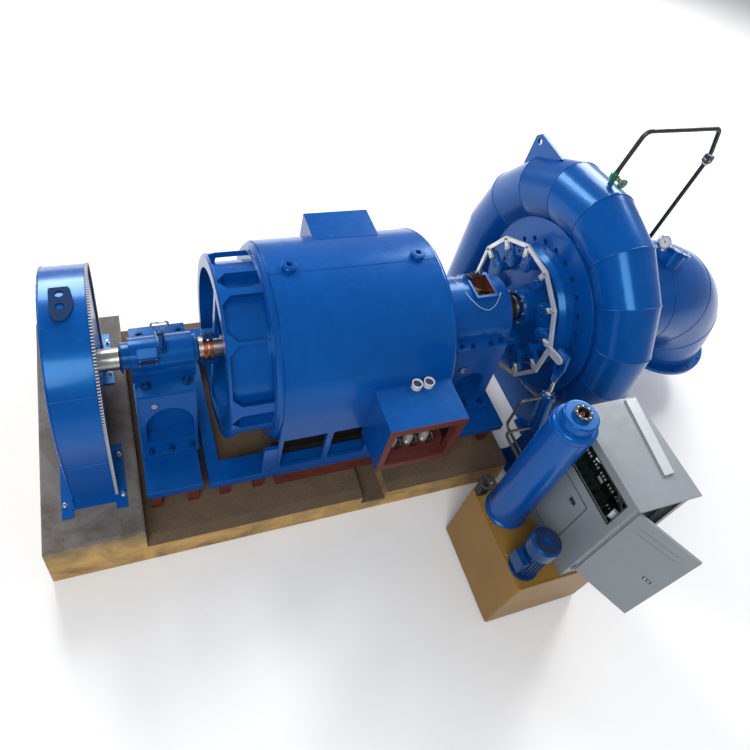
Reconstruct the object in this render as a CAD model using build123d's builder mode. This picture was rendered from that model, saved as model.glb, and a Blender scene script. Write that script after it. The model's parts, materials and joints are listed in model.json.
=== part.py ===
from build123d import *
import os
from math import cos, sin, radians, sqrt

os.makedirs("parts", exist_ok=True)

# Levels and shaft line, millimetres, +X from flywheel to turbine, -Y is the operator's side
shaft_z = 1097.0
block_top = 460.0
bed_top = 240.0
frame_depth = 70.0
frame_under = block_top - frame_depth
bed_half = 941.0
running_gap = 0.05
slot_gap = 0.1

# Stations along the shaft
block_x0 = -2107.0
block_x1 = -1495.0
bed_x1 = 1330.0
guard_x0 = -1912.0
guard_width = 260.0
nde_x0 = -1446.0
nde_x1 = -1071.0
drum_x0 = -920.0
shell_x0 = -591.0
shell_x1 = 575.0
shield_x1 = 615.0
de_x0 = 790.0
de_x1 = 1310.0
gland_x0 = 1523.0
ring_x0 = 1705.0
ring_x1 = 2110.0
scroll_x = 1907.0

# Radii and sheet sizes
guard_r = 636.0
guard_sheet = 6.0
flywheel_r = guard_r - 76
shaft_r = 75.0
shaft_mid_r = 110.0
shaft_drive_r = 100.0
shell_r = 700.0
shell_wall = 40.0
drum_r = shell_r - 61
de_cap_r = 294.0
nde_cap_r = 124.0
stay_r = 714.0
bolt_circle_r = 544.0
draft_r = 451.0
draft_bend = 619.0
draft_x = 2775.0

# Guide vane linkage
vane_count = 12
vane_first = 15.0
pivot_r = 378.0
pin_circle_r = 480.0
link_corner_r = 578.0
link_x0 = 1480.0
link_thick = 20.0
lever_x0 = 1506.0
lever_thick = 24.0
lever_half = 50.0
stem_r = 20.0
link_pin_r = 10.0
servo_angle = 13.0
servo_pin_r = 12.0
servo_arm_r = 688.0
servo_x = 1518.0

# Working planes through the shaft axis
shaft_axis = Axis((0, 0, shaft_z), (1, 0, 0))
shaft_plane = Plane(origin=(0, 0, shaft_z), x_dir=(1, 0, 0), z_dir=(0, -1, 0))

# Flywheel foundation block with a shallow pit
with BuildPart() as flywheel_block:
    with BuildSketch(Plane.XY):
        with Locations(((block_x0 + block_x1) / 2, 0)):
            Rectangle(block_x1 - block_x0, 2 * bed_half)
    extrude(amount=block_top)
    chamfer(flywheel_block.edges().group_by(Axis.Z)[-1], length=14)
    with BuildSketch(Plane.XY.offset(block_top)):
        with Locations((guard_x0 + guard_width / 2, 0)):
            Rectangle(guard_width - 40, 2 * guard_r - 200)
    extrude(amount=-60, mode=Mode.SUBTRACT)
flywheel_block.part.label = "flywheel_block"
export_step(flywheel_block.part, "parts/flywheel_block.step")

# Lower concrete bed with a cable trench and a sloped front curb
with BuildPart() as machine_bed:
    with BuildSketch(Plane.YZ.offset(block_x1)):
        with BuildLine():
            Polyline((-bed_half, 0), (bed_half, 0), (bed_half, bed_top), (-bed_half + 70, bed_top),
                     (-bed_half, bed_top - 22), (-bed_half, 0))
        make_face()
    extrude(amount=bed_x1 - block_x1)
    with BuildSketch(Plane.XY.offset(bed_top)):
        with Locations((160, -bed_half + 150)):
            Rectangle(200, 300)
    extrude(amount=-120, mode=Mode.SUBTRACT)
    chamfer(machine_bed.edges().filter_by(Axis.Z).group_by(Axis.X)[-1], length=14)
machine_bed.part.label = "machine_bed"
export_step(machine_bed.part, "parts/machine_bed.step")

# Sheet casing over the flywheel, open at the bottom and on the bearing side
with BuildPart() as flywheel_guard:
    with BuildSketch(Plane.YZ.offset(guard_x0)):
        with BuildLine():
            Line((-guard_r, block_top), (-guard_r, shaft_z))
            ThreePointArc((-guard_r, shaft_z), (0, shaft_z + guard_r), (guard_r, shaft_z))
            Line((guard_r, shaft_z), (guard_r, block_top))
            Line((guard_r, block_top), (-guard_r, block_top))
        make_face()
    extrude(amount=guard_width)
    with BuildSketch(Plane.YZ.offset(guard_x0 + guard_sheet)):
        with BuildLine():
            Line((-guard_r + guard_sheet, block_top), (-guard_r + guard_sheet, shaft_z))
            ThreePointArc((-guard_r + guard_sheet, shaft_z), (0, shaft_z + guard_r - guard_sheet),
                          (guard_r - guard_sheet, shaft_z))
            Line((guard_r - guard_sheet, shaft_z), (guard_r - guard_sheet, block_top))
            Line((guard_r - guard_sheet, block_top), (-guard_r + guard_sheet, block_top))
        make_face()
    extrude(amount=guard_width, mode=Mode.SUBTRACT)
    with BuildSketch(Plane.XY.offset(block_top)):
        for foot_x in (guard_x0 - 35, guard_x0 + guard_width + 35):
            with Locations((foot_x, 136 - guard_r), (foot_x, guard_r - 136)):
                Rectangle(70, 480)
        with Locations((guard_x0 + guard_width / 2, -guard_r - 26), (guard_x0 + guard_width / 2, guard_r + 26)):
            Rectangle(guard_width + 140, 52)
        for foot_x in (guard_x0 - 48, guard_x0 + guard_width + 48):
            with Locations((foot_x, -guard_r - 14), (foot_x, 286 - guard_r)):
                Circle(9, mode=Mode.SUBTRACT)
    extrude(amount=10)
flywheel_guard.part.label = "flywheel_guard"
export_step(flywheel_guard.part, "parts/flywheel_guard.step")

# Slotted screen plate in the open side of the casing
with BuildPart() as guard_screen:
    screen_r = guard_r - guard_sheet
    with BuildSketch(Plane.YZ.offset(guard_x0 + guard_width - 5)):
        with BuildLine():
            Line((-screen_r, block_top), (-screen_r, shaft_z))
            ThreePointArc((-screen_r, shaft_z), (0, shaft_z + screen_r), (screen_r, shaft_z))
            Line((screen_r, shaft_z), (screen_r, block_top))
            Line((screen_r, block_top), (-screen_r, block_top))
        make_face()
        with Locations((0, shaft_z)):
            Circle(shaft_r + 20, mode=Mode.SUBTRACT)
            with PolarLocations(screen_r - 29, 49, 0, 180, endpoint=True):
                Rectangle(44, 18, mode=Mode.SUBTRACT)
        with Locations((29 - screen_r, (shaft_z + block_top) / 2), (screen_r - 29, (shaft_z + block_top) / 2)):
            with GridLocations(1, 38, 1, 14):
                Rectangle(44, 18, mode=Mode.SUBTRACT)
    extrude(amount=5)
guard_screen.part.label = "guard_screen"
export_step(guard_screen.part, "parts/guard_screen.step")

# Flywheel with hub, web and heavy rim
flywheel_x = guard_x0 + guard_width / 2
web_r = flywheel_r - 130
with BuildPart() as flywheel:
    with BuildSketch(shaft_plane):
        with BuildLine():
            Polyline((flywheel_x - 95, shaft_r), (flywheel_x + 95, shaft_r), (flywheel_x + 95, 150),
                     (flywheel_x + 34, 175), (flywheel_x + 34, web_r), (flywheel_x + 85, web_r + 25),
                     (flywheel_x + 85, flywheel_r - 10), (flywheel_x + 75, flywheel_r),
                     (flywheel_x - 75, flywheel_r), (flywheel_x - 85, flywheel_r - 10),
                     (flywheel_x - 85, web_r + 25), (flywheel_x - 34, web_r), (flywheel_x - 34, 175),
                     (flywheel_x - 95, 150), (flywheel_x - 95, shaft_r))
        make_face()
    revolve(axis=shaft_axis, revolution_arc=360)
    with BuildSketch(Plane.YZ.offset(flywheel_x - 60)):
        with Locations((0, shaft_z)):
            with PolarLocations(305, 6):
                Circle(60)
    extrude(amount=120, mode=Mode.SUBTRACT)
flywheel.part.label = "flywheel"
export_step(flywheel.part, "parts/flywheel.step")

# Main shaft with its thrower collars
with BuildPart() as main_shaft:
    with BuildSketch(shaft_plane):
        with BuildLine():
            Polyline((-1880, 0), (1640, 0), (1640, shaft_drive_r - 20), (1500, shaft_drive_r - 20),
                     (1500, shaft_drive_r), (1390, shaft_drive_r), (1390, 150), (1345, 150),
                     (1345, shaft_drive_r), (640, shaft_drive_r), (640, shaft_mid_r), (-700, shaft_mid_r),
                     (-700, shaft_r), (-1874, shaft_r), (-1880, shaft_r - 6), (-1880, 0))
        make_face()
    revolve(axis=shaft_axis, revolution_arc=360)
main_shaft.part.label = "main_shaft"
export_step(main_shaft.part, "parts/main_shaft.step")

# Rotor body with six salient poles
with BuildPart() as generator_rotor:
    with BuildSketch(Plane.YZ.offset(-360)):
        with Locations((0, shaft_z)):
            Circle(300)
            with PolarLocations(350, 6):
                Rectangle(140, 200)
            with PolarLocations(430, 6):
                Rectangle(46, 290)
            Circle(shaft_mid_r, mode=Mode.SUBTRACT)
    extrude(amount=720)
generator_rotor.part.label = "generator_rotor"
export_step(generator_rotor.part, "parts/generator_rotor.step")

# Copper slip rings on an insulating sleeve's seat
with BuildPart() as slip_rings:
    for ring_x in (-988, -948):
        with BuildSketch(Plane.YZ.offset(ring_x)):
            with Locations((0, shaft_z)):
                Circle(94)
                Circle(shaft_r, mode=Mode.SUBTRACT)
        extrude(amount=26)
slip_rings.part.label = "slip_rings"
export_step(slip_rings.part, "parts/slip_rings.step")

# Non-drive bearing pedestal with an arched recess
cap_flange = 2 * nde_cap_r + 64
arch_x = (nde_x0 + nde_x1) / 2 + 6
arch_r = 156.0
with BuildPart() as nde_pedestal:
    with BuildSketch(Plane.YZ.offset(nde_x0)):
        with BuildLine():
            Polyline((-420, block_top), (420, block_top), (420, block_top + 34), (372, block_top + 40),
                     (290, 1010), (290, 1040), (-290, 1040), (-290, 1010), (-372, block_top + 40),
                     (-420, block_top + 34), (-420, block_top))
        make_face()
    extrude(amount=nde_x1 - nde_x0)
    with BuildSketch(Plane.YZ.offset(nde_x0 - 14)):
        with Locations((0, shaft_z - 41)):
            Rectangle(cap_flange, 82)
    extrude(amount=nde_x1 - nde_x0 + 30)
    with BuildSketch(Plane.XZ.offset(460)):
        with Locations((arch_x, 650)):
            Rectangle(2 * arch_r, 160)
        with Locations((arch_x, 730)):
            Circle(arch_r)
    extrude(amount=-210, mode=Mode.SUBTRACT)
    with BuildSketch(Plane.XZ.offset(-460)):
        with Locations((arch_x, 650)):
            Rectangle(2 * arch_r, 160)
        with Locations((arch_x, 730)):
            Circle(arch_r)
    extrude(amount=210, mode=Mode.SUBTRACT)
    with BuildSketch(Plane.YZ.offset(nde_x0 - 60)):
        with Locations((0, shaft_z)):
            Circle(shaft_r + running_gap)
    extrude(amount=500, mode=Mode.SUBTRACT)
    with BuildSketch(Plane.XZ.offset(420)):
        with Locations((nde_x0 + 100, 930)):
            Circle(16)
    extrude(amount=-140, mode=Mode.SUBTRACT)
    split(bisect_by=Plane.XY.offset(shaft_z), keep=Keep.BOTTOM)
nde_pedestal.part.label = "nde_pedestal"
export_step(nde_pedestal.part, "parts/nde_pedestal.step")

# Non-drive bearing cap with end collars, split flange and lifting eye bracket
with BuildPart() as nde_cap:
    with BuildSketch(Plane.YZ.offset(nde_x0 - 14)):
        with Locations((0, shaft_z)):
            Circle(nde_cap_r)
        with Locations((0, shaft_z + 9)):
            Rectangle(cap_flange, 18)
    extrude(amount=nde_x1 - nde_x0 + 30)
    with BuildSketch(Plane.YZ.offset(nde_x0 - 66)):
        with Locations((0, shaft_z)):
            Circle(100)
    extrude(amount=76)
    with BuildSketch(Plane.YZ.offset(nde_x1 - 36)):
        with Locations((0, shaft_z)):
            Circle(100)
    extrude(amount=80)
    with BuildSketch(Plane.YZ.offset((nde_x0 + nde_x1) / 2 - 8)):
        with BuildLine():
            Polyline((-78, shaft_z + 80), (78, shaft_z + 80), (24, shaft_z + 200), (-24, shaft_z + 200),
                     (-78, shaft_z + 80))
        make_face()
    extrude(amount=16)
    with BuildSketch(Plane.XZ.offset(134)):
        with Locations((nde_x0 + 95, shaft_z + 98)):
            Rectangle(124, 74)
    extrude(amount=-80)
    with BuildSketch(Plane.YZ.offset(nde_x0 - 80)):
        with Locations((0, shaft_z)):
            Circle(shaft_r + running_gap)
    extrude(amount=560, mode=Mode.SUBTRACT)
    split(bisect_by=Plane.XY.offset(shaft_z), keep=Keep.TOP)
nde_cap.part.label = "nde_cap"
export_step(nde_cap.part, "parts/nde_cap.step")

# Stator barrel with side plates and ventilation windows down to the frame
with BuildPart() as generator_shell:
    with BuildSketch(Plane.YZ.offset(shell_x0)):
        with Locations((0, shaft_z)):
            Circle(shell_r)
        with Locations((0, (shaft_z + block_top) / 2)):
            Rectangle(2 * shell_r, shaft_z - block_top)
    extrude(amount=shell_x1 - shell_x0)
    with BuildSketch(Plane.YZ.offset(shell_x0)):
        with Locations((0, (shaft_z + block_top) / 2)):
            Rectangle(2 * shell_r - 60, shaft_z - block_top)
        with Locations((0, shaft_z)):
            Circle(shell_r, mode=Mode.SUBTRACT)
    extrude(amount=shell_x1 - shell_x0, mode=Mode.SUBTRACT)
    with BuildSketch(Plane.YZ.offset(shell_x0)):
        with Locations((0, shaft_z)):
            Circle(shell_r - shell_wall)
    extrude(amount=shell_x1 - shell_x0, mode=Mode.SUBTRACT)
    with BuildSketch(Plane.XY.offset(shaft_z + shell_r + 10)):
        with Locations((-455, 0), (445, 0)):
            Circle(20)
    extrude(amount=-100, mode=Mode.SUBTRACT)
    with BuildSketch(Plane.YZ.offset(shell_x0 - 96)):
        with Locations((-shell_r + 15, 620), (shell_r - 15, 620)):
            Rectangle(30, 320)
    extrude(amount=100)
    with BuildSketch(Plane.YZ.offset(shell_x0 - 96)):
        with Locations((-shell_r + 55, block_top + 15), (shell_r - 55, block_top + 15)):
            Rectangle(110, 30)
    extrude(amount=shell_x1 - shell_x0 + 96)
    for window_x, window_w in ((-405, 310), (-65, 280), (330, 390)):
        with BuildSketch(Plane.XZ.offset(shell_r)):
            with Locations((window_x, 683)):
                Rectangle(window_w, 366)
        extrude(amount=-32, mode=Mode.SUBTRACT)
        with BuildSketch(Plane.XZ.offset(-shell_r)):
            with Locations((window_x, 683)):
                Rectangle(window_w, 366)
        extrude(amount=32, mode=Mode.SUBTRACT)
generator_shell.part.label = "generator_shell"
export_step(generator_shell.part, "parts/generator_shell.step")

# Lifting bosses on the crown
with BuildPart() as lifting_bosses:
    with BuildSketch(Plane.XY.offset(shaft_z + shell_r + 34)):
        with Locations((-455, 0), (445, 0)):
            Circle(52)
            Circle(20, mode=Mode.SUBTRACT)
    extrude(amount=-60)
    with BuildSketch(Plane.YZ.offset(-600)):
        with Locations((0, shaft_z)):
            Circle(shell_r)
    extrude(amount=1200, mode=Mode.SUBTRACT)
    chamfer(lifting_bosses.edges().group_by(Axis.Z)[-1].filter_by(GeomType.CIRCLE), length=5)
lifting_bosses.part.label = "lifting_bosses"
export_step(lifting_bosses.part, "parts/lifting_bosses.step")

# Non-drive end drum: a thick ring with cast pockets whose front corners are cut at 45 degrees
drum_bore = drum_r - 94
pocket_floor = drum_r - 64
pocket_x0 = drum_x0 + 17
pocket_x1 = shell_x0 - 49
with BuildPart() as pocket_core:
    for middle, spread in ((0, 12), (32, 37), (66, 27), (90, 12), (114, 27), (148, 37), (180, 12), (212, 37),
                           (246, 27), (270, 12), (294, 27), (328, 37)):
        out_y = -cos(radians(middle))
        out_z = sin(radians(middle))
        half = drum_r * sin(radians(spread / 2))
        corner = min(62.0, half - 8)
        with BuildSketch(Plane(origin=(0, 500 * out_y, shaft_z + 500 * out_z), x_dir=(1, 0, 0),
                               z_dir=(0, out_y, out_z))):
            with BuildLine():
                Polyline((pocket_x0, corner - half), (pocket_x0 + corner, -half), (pocket_x1, -half),
                         (pocket_x1, half), (pocket_x0 + corner, half), (pocket_x0, half - corner),
                         (pocket_x0, corner - half))
            make_face()
        extrude(amount=200)
    with BuildSketch(Plane.YZ.offset(drum_x0)):
        with Locations((0, shaft_z)):
            Circle(pocket_floor)
    extrude(amount=shell_x0 - drum_x0, mode=Mode.SUBTRACT)
with BuildPart() as nde_drum:
    with BuildSketch(shaft_plane):
        with BuildLine():
            Polyline((drum_x0, drum_bore), (drum_x0, drum_r - 14), (drum_x0 + 14, drum_r),
                     (shell_x0 - 42, drum_r), (shell_x0 - 42, shell_r - 34), (shell_x0 - 20, shell_r - 10),
                     (shell_x0, shell_r - 10), (shell_x0, shell_r - 140), (shell_x0 - 70, shell_r - 140),
                     (shell_x0 - 90, drum_bore), (drum_x0, drum_bore))
        make_face()
    revolve(axis=shaft_axis, revolution_arc=360)
    add(pocket_core.part, mode=Mode.SUBTRACT)
nde_drum.part.label = "nde_drum"
export_step(nde_drum.part, "parts/nde_drum.step")

# Brush rocker bars and brush boxes around the slip rings
with BuildPart() as brush_gear:
    with BuildSketch(Plane.YZ.offset(drum_x0 + 4)):
        with Locations((0, shaft_z)):
            Circle(drum_bore)
            Rectangle(60, 2 * drum_bore + 10, mode=Mode.INTERSECT)
            Circle(123, mode=Mode.SUBTRACT)
    extrude(amount=14)
    for side in (-1, 1):
        with BuildSketch(Plane.XY.offset(shaft_z + side * 140)):
            with Locations((-935, 0)):
                Rectangle(112, 44)
        extrude(amount=32, both=True)
    with BuildSketch(Plane.XY.offset(shaft_z + 100)):
        with Locations((-975, 0), (-935, 0)):
            Rectangle(18, 26)
    extrude(amount=20)
brush_gear.part.label = "brush_gear"
export_step(brush_gear.part, "parts/brush_gear.step")

# Drive end shield with a rounded shoulder
with BuildPart() as de_shield:
    with BuildSketch(shaft_plane):
        with BuildLine():
            Line((shell_x1, shell_r - 140), (shell_x1, shell_r))
            ThreePointArc((shell_x1, shell_r), (shell_x1 + 28, shell_r - 12), (shield_x1, shell_r - 40))
            Line((shield_x1, shell_r - 40), (shield_x1, 260))
            Line((shield_x1, 260), (shield_x1 + 60, 200))
            Line((shield_x1 + 60, 200), (shield_x1 + 60, shaft_drive_r + 12))
            Line((shield_x1 + 60, shaft_drive_r + 12), (shield_x1 + 34, shaft_drive_r + 12))
            Line((shield_x1 + 34, shaft_drive_r + 12), (shield_x1 - 20, 250))
            Line((shield_x1 - 20, 250), (shield_x1 - 20, shell_r - 140))
            Line((shield_x1 - 20, shell_r - 140), (shell_x1, shell_r - 140))
        make_face()
    revolve(axis=shaft_axis, revolution_arc=360)
de_shield.part.label = "de_shield"
export_step(de_shield.part, "parts/de_shield.step")

# Air outlet hood behind the crown with a louvred mouth
hood_y1 = shell_r - 119
hood_top = shaft_z + shell_r - 70
with BuildPart() as air_hood:
    with BuildSketch(Plane.XY.offset(hood_top - 427)):
        with Locations((45, hood_y1 - 166)):
            Rectangle(480, 332)
    extrude(amount=427)
    with BuildSketch(Plane.XZ.offset(-hood_y1)):
        with Locations((45, hood_top - 137)):
            Rectangle(400, 210)
    extrude(amount=60, mode=Mode.SUBTRACT)
    for blade_z in (hood_top - 217, hood_top - 167, hood_top - 117, hood_top - 67):
        with BuildSketch(Plane.YZ.offset(-157)):
            with BuildLine():
                Polyline((hood_y1 - 61, blade_z), (hood_y1 - 3, blade_z - 24), (hood_y1 - 3, blade_z - 18),
                         (hood_y1 - 61, blade_z + 6), (hood_y1 - 61, blade_z))
            make_face()
        extrude(amount=404)
    with BuildSketch(Plane.YZ.offset(-200)):
        with Locations((0, shaft_z)):
            Circle(shell_r)
    extrude(amount=500, mode=Mode.SUBTRACT)
air_hood.part.label = "air_hood"
export_step(air_hood.part, "parts/air_hood.step")

# Fabricated base frame: bearing pad, side beams and drive end plate
with BuildPart() as base_frame:
    with BuildSketch(Plane.XY.offset(frame_under)):
        with Locations((-1272, 0)):
            Rectangle(370, 2 * shell_r - 28)
        with Locations((138.5, 0)):
            Rectangle(2363, 2 * shell_r)
        with Locations((-157.5, 0)):
            Rectangle(1595, 2 * shell_r - 340, mode=Mode.SUBTRACT)
    extrude(amount=frame_depth)
    fillet(base_frame.edges().filter_by(Axis.X).group_by(Axis.Z)[-1], radius=6)
base_frame.part.label = "base_frame"
export_step(base_frame.part, "parts/base_frame.step")

# Red oxide sole rails and blocks on the bed
with BuildPart() as sole_plates:
    for rail_y in (60 - shell_r, shell_r - 60):
        with BuildSketch(Plane.YZ.offset(-560)):
            with BuildLine():
                Polyline((rail_y - 60, bed_top), (rail_y + 60, bed_top), (rail_y + 60, bed_top + 18),
                         (rail_y + 12, bed_top + 18), (rail_y + 12, frame_under - 18),
                         (rail_y + 60, frame_under - 18), (rail_y + 60, frame_under),
                         (rail_y - 60, frame_under), (rail_y - 60, frame_under - 18),
                         (rail_y - 12, frame_under - 18), (rail_y - 12, bed_top + 18),
                         (rail_y - 60, bed_top + 18), (rail_y - 60, bed_top))
            make_face()
        extrude(amount=1160)
        with BuildSketch(Plane.XY.offset(bed_top)):
            with Locations((-1400, rail_y), (-1150, rail_y), (-930, rail_y), (-690, rail_y), (800, rail_y),
                           (1200, rail_y)):
                Rectangle(70, 90)
        extrude(amount=frame_under - bed_top)
    with BuildSketch(Plane.XY.offset(bed_top)):
        with Locations((-1400, 0), (-1150, 0), (800, 0), (1200, 0)):
            Rectangle(70, 300)
    extrude(amount=frame_under - bed_top)
sole_plates.part.label = "sole_plates"
export_step(sole_plates.part, "parts/sole_plates.step")

# Terminal box on the barrel's operator side
box_x0 = 7.0
box_x1 = 564.0
box_y0 = -shell_r - 306
box_back = 100 - shell_r
box_z0 = 789.0
box_z1 = 1286.0
box_sheet = 6.0
with BuildPart() as terminal_box:
    with BuildSketch(Plane.XY.offset(box_z0)):
        with Locations(((box_x0 + box_x1) / 2, (box_y0 + box_back) / 2)):
            Rectangle(box_x1 - box_x0, box_back - box_y0)
    extrude(amount=box_z1 - box_z0)
    with BuildSketch(Plane.XZ.offset(-box_y0)):
        with Locations(((box_x0 + box_x1) / 2, (box_z0 + box_z1) / 2)):
            Rectangle(box_x1 - box_x0 - 2 * box_sheet, box_z1 - box_z0 - 2 * box_sheet)
    extrude(amount=-420, mode=Mode.SUBTRACT)
    with BuildSketch(Plane.YZ.offset(box_x0 - 10)):
        with Locations((0, shaft_z)):
            Circle(shell_r)
        with Locations((0, (shaft_z + block_top) / 2)):
            Rectangle(2 * shell_r, shaft_z - block_top)
    extrude(amount=600, mode=Mode.SUBTRACT)
terminal_box.part.label = "terminal_box"
export_step(terminal_box.part, "parts/terminal_box.step")

# Red oxide front frame and floor inside the terminal box
with BuildPart() as terminal_frame:
    with BuildSketch(Plane.XZ.offset(-box_y0)):
        with Locations(((box_x0 + box_x1) / 2, (box_z0 + box_z1) / 2)):
            Rectangle(box_x1 - box_x0, box_z1 - box_z0)
            Rectangle(box_x1 - box_x0 - 90, box_z1 - box_z0 - 120, mode=Mode.SUBTRACT)
    extrude(amount=6)
    with BuildSketch(Plane.XZ.offset(-box_y0)):
        with Locations(((box_x0 + box_x1) / 2, (box_z0 + box_z1) / 2)):
            Rectangle(box_x1 - box_x0 - 90, box_z1 - box_z0 - 120)
            Rectangle(box_x1 - box_x0 - 102, box_z1 - box_z0 - 132, mode=Mode.SUBTRACT)
    extrude(amount=-60)
    with BuildSketch(Plane.XY.offset(box_z0 + 53)):
        with Locations(((box_x0 + box_x1) / 2, -shell_r - 130)):
            Rectangle(box_x1 - box_x0 - 2 * box_sheet, 258)
    extrude(amount=10)
terminal_frame.part.label = "terminal_frame"
export_step(terminal_frame.part, "parts/terminal_frame.step")

# Three ribbed post insulators
post_y = -shell_r - 160
with BuildPart() as terminal_posts:
    for post_x in (165, 285, 405):
        with BuildSketch(Plane(origin=(post_x, post_y, box_z0 + 63), x_dir=(1, 0, 0), z_dir=(0, -1, 0))):
            with BuildLine():
                Polyline((0, 0), (34, 0), (34, 20), (24, 28), (34, 40), (24, 52), (34, 64), (24, 76),
                         (34, 88), (24, 100), (24, 118), (12, 118), (12, 150), (0, 150), (0, 0))
            make_face()
        revolve(axis=Axis((post_x, post_y, 0), (0, 0, 1)), revolution_arc=360)
terminal_posts.part.label = "terminal_posts"
export_step(terminal_posts.part, "parts/terminal_posts.step")

# Two conduit sleeves on the box roof
with BuildPart() as conduit_sleeves:
    with BuildSketch(Plane.XY.offset(box_z1)):
        with Locations((298, -shell_r - 8), (386, -shell_r - 8)):
            Circle(36)
            Circle(29, mode=Mode.SUBTRACT)
    extrude(amount=42)
    with BuildSketch(Plane.YZ.offset(box_x0)):
        with Locations((0, shaft_z)):
            Circle(shell_r)
    extrude(amount=box_x1 - box_x0, mode=Mode.SUBTRACT)
conduit_sleeves.part.label = "conduit_sleeves"
export_step(conduit_sleeves.part, "parts/conduit_sleeves.step")

# Drive end bearing pedestal
with BuildPart() as de_pedestal:
    with BuildSketch(Plane.YZ.offset(de_x0 + 30)):
        with BuildLine():
            Polyline((-520, block_top), (520, block_top), (520, block_top + 36), (420, block_top + 44),
                     (380, shaft_z), (-380, shaft_z), (-420, block_top + 44), (-520, block_top + 36),
                     (-520, block_top))
        make_face()
    extrude(amount=de_x1 - de_x0 - 90)
    with BuildSketch(Plane.YZ.offset(de_x0)):
        with Locations((0, shaft_z)):
            Circle(de_cap_r)
    extrude(amount=de_x1 - de_x0)
    with BuildSketch(Plane.XZ.offset(540)):
        with Locations(((de_x0 + de_x1) / 2, 640)):
            Rectangle(230, 150)
        with Locations(((de_x0 + de_x1) / 2, 715)):
            Circle(115)
    extrude(amount=-260, mode=Mode.SUBTRACT)
    with BuildSketch(Plane.XZ.offset(-540)):
        with Locations(((de_x0 + de_x1) / 2, 640)):
            Rectangle(230, 150)
        with Locations(((de_x0 + de_x1) / 2, 715)):
            Circle(115)
    extrude(amount=260, mode=Mode.SUBTRACT)
    with BuildSketch(Plane.YZ.offset(de_x0 - 10)):
        with Locations((0, shaft_z)):
            Circle(shaft_drive_r + running_gap)
    extrude(amount=600, mode=Mode.SUBTRACT)
    with BuildSketch(Plane.XZ.offset(400)):
        with Locations((930, 900)):
            Circle(34)
    extrude(amount=-150)
    split(bisect_by=Plane.XY.offset(shaft_z), keep=Keep.BOTTOM)
de_pedestal.part.label = "de_pedestal"
export_step(de_pedestal.part, "parts/de_pedestal.step")

# Drive end bearing cap with split flange and an open inspection hatch
with BuildPart() as de_cap:
    with BuildSketch(Plane.YZ.offset(de_x0)):
        with Locations((0, shaft_z)):
            Circle(de_cap_r)
    extrude(amount=de_x1 - de_x0)
    with BuildSketch(Plane.YZ.offset(de_x0 + 30)):
        with Locations((0, shaft_z + 17)):
            Rectangle(760, 34)
    extrude(amount=de_x1 - de_x0 - 90)
    with BuildSketch(Plane.YZ.offset(de_x1 - 14)):
        with Locations((0, shaft_z)):
            Circle(170)
    extrude(amount=28)
    with BuildSketch(Plane.XY.offset(1320)):
        with Locations((1105, 10)):
            Rectangle(190, 250)
    extrude(amount=86)
    with BuildSketch(Plane.XY.offset(1406)):
        with Locations((1105, 10)):
            Rectangle(150, 200)
    extrude(amount=-120, mode=Mode.SUBTRACT)
    with BuildSketch(Plane.YZ.offset(de_x0 - 10)):
        with Locations((0, shaft_z)):
            Circle(shaft_drive_r + running_gap)
    extrude(amount=600, mode=Mode.SUBTRACT)
    split(bisect_by=Plane.XY.offset(shaft_z), keep=Keep.TOP)
de_cap.part.label = "de_cap"
export_step(de_cap.part, "parts/de_cap.step")

# Mitred spiral case with its stay ring, crown lug and bolt circle
with BuildPart() as spiral_case:
    for k in range(16):
        phi = 180.0 - 22.5 * k
        tube_r = 189.0 + 118.0 * phi / 180.0
        centre_r = 813.0 + 149.0 * phi / 180.0
        out_y = -cos(radians(phi))
        out_z = sin(radians(phi))
        section = Plane(origin=(scroll_x, centre_r * out_y, shaft_z + centre_r * out_z), x_dir=(1, 0, 0),
                        z_dir=(0, -out_z, out_y))
        with BuildSketch(section):
            Circle(tube_r)
    loft(ruled=True)
    with BuildSketch(Plane.YZ.offset(ring_x0)):
        with Locations((0, shaft_z)):
            Circle(stay_r)
    extrude(amount=ring_x1 - ring_x0)
    with BuildSketch(Plane.YZ.offset(ring_x0)):
        with Locations((0, shaft_z)):
            Circle(430)
    extrude(amount=ring_x1 - ring_x0, mode=Mode.SUBTRACT)
    with BuildSketch(Plane.YZ.offset(ring_x0)):
        with Locations((0, shaft_z)):
            with PolarLocations(bolt_circle_r, 24, 7.5):
                Circle(23)
    extrude(amount=60, mode=Mode.SUBTRACT)
    with BuildSketch(Plane.XY.offset(shaft_z)):
        with Locations((scroll_x, 962)):
            Circle(307)
    extrude(amount=-shaft_z, mode=Mode.SUBTRACT)
    lug_angle = 133.6
    lug_r = 1002 + 267 * lug_angle / 180
    lug_out = (0, -cos(radians(lug_angle)), sin(radians(lug_angle)))
    lug_plane = Plane(origin=(scroll_x - 61, lug_r * lug_out[1], shaft_z + lug_r * lug_out[2]),
                      x_dir=(0, lug_out[2], -lug_out[1]), z_dir=(1, 0, 0))
    with BuildSketch(lug_plane):
        with BuildLine():
            Polyline((-268, -70), (268, -70), (38, 162), (-38, 162), (-268, -70))
        make_face()
        with Locations((0, 106)):
            Circle(26, mode=Mode.SUBTRACT)
    extrude(amount=13, both=True)
spiral_case.part.label = "spiral_case"
export_step(spiral_case.part, "parts/spiral_case.step")

# Vertical inlet pipe with its connection flange
with BuildPart() as inlet_pipe:
    with BuildSketch(Plane.XY):
        with Locations((scroll_x, 962)):
            Circle(307)
    extrude(amount=shaft_z)
    with BuildSketch(Plane.XY):
        with Locations((scroll_x, 962)):
            Circle(400)
    extrude(amount=42)
    with BuildSketch(Plane.XY):
        with Locations((scroll_x, 962)):
            Circle(290)
    extrude(amount=900, mode=Mode.SUBTRACT)
    with BuildSketch(Plane.XY):
        with Locations((scroll_x, 962)):
            with PolarLocations(355, 16, 11.25):
                Circle(14)
    extrude(amount=42, mode=Mode.SUBTRACT)
inlet_pipe.part.label = "inlet_pipe"
export_step(inlet_pipe.part, "parts/inlet_pipe.step")

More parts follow.
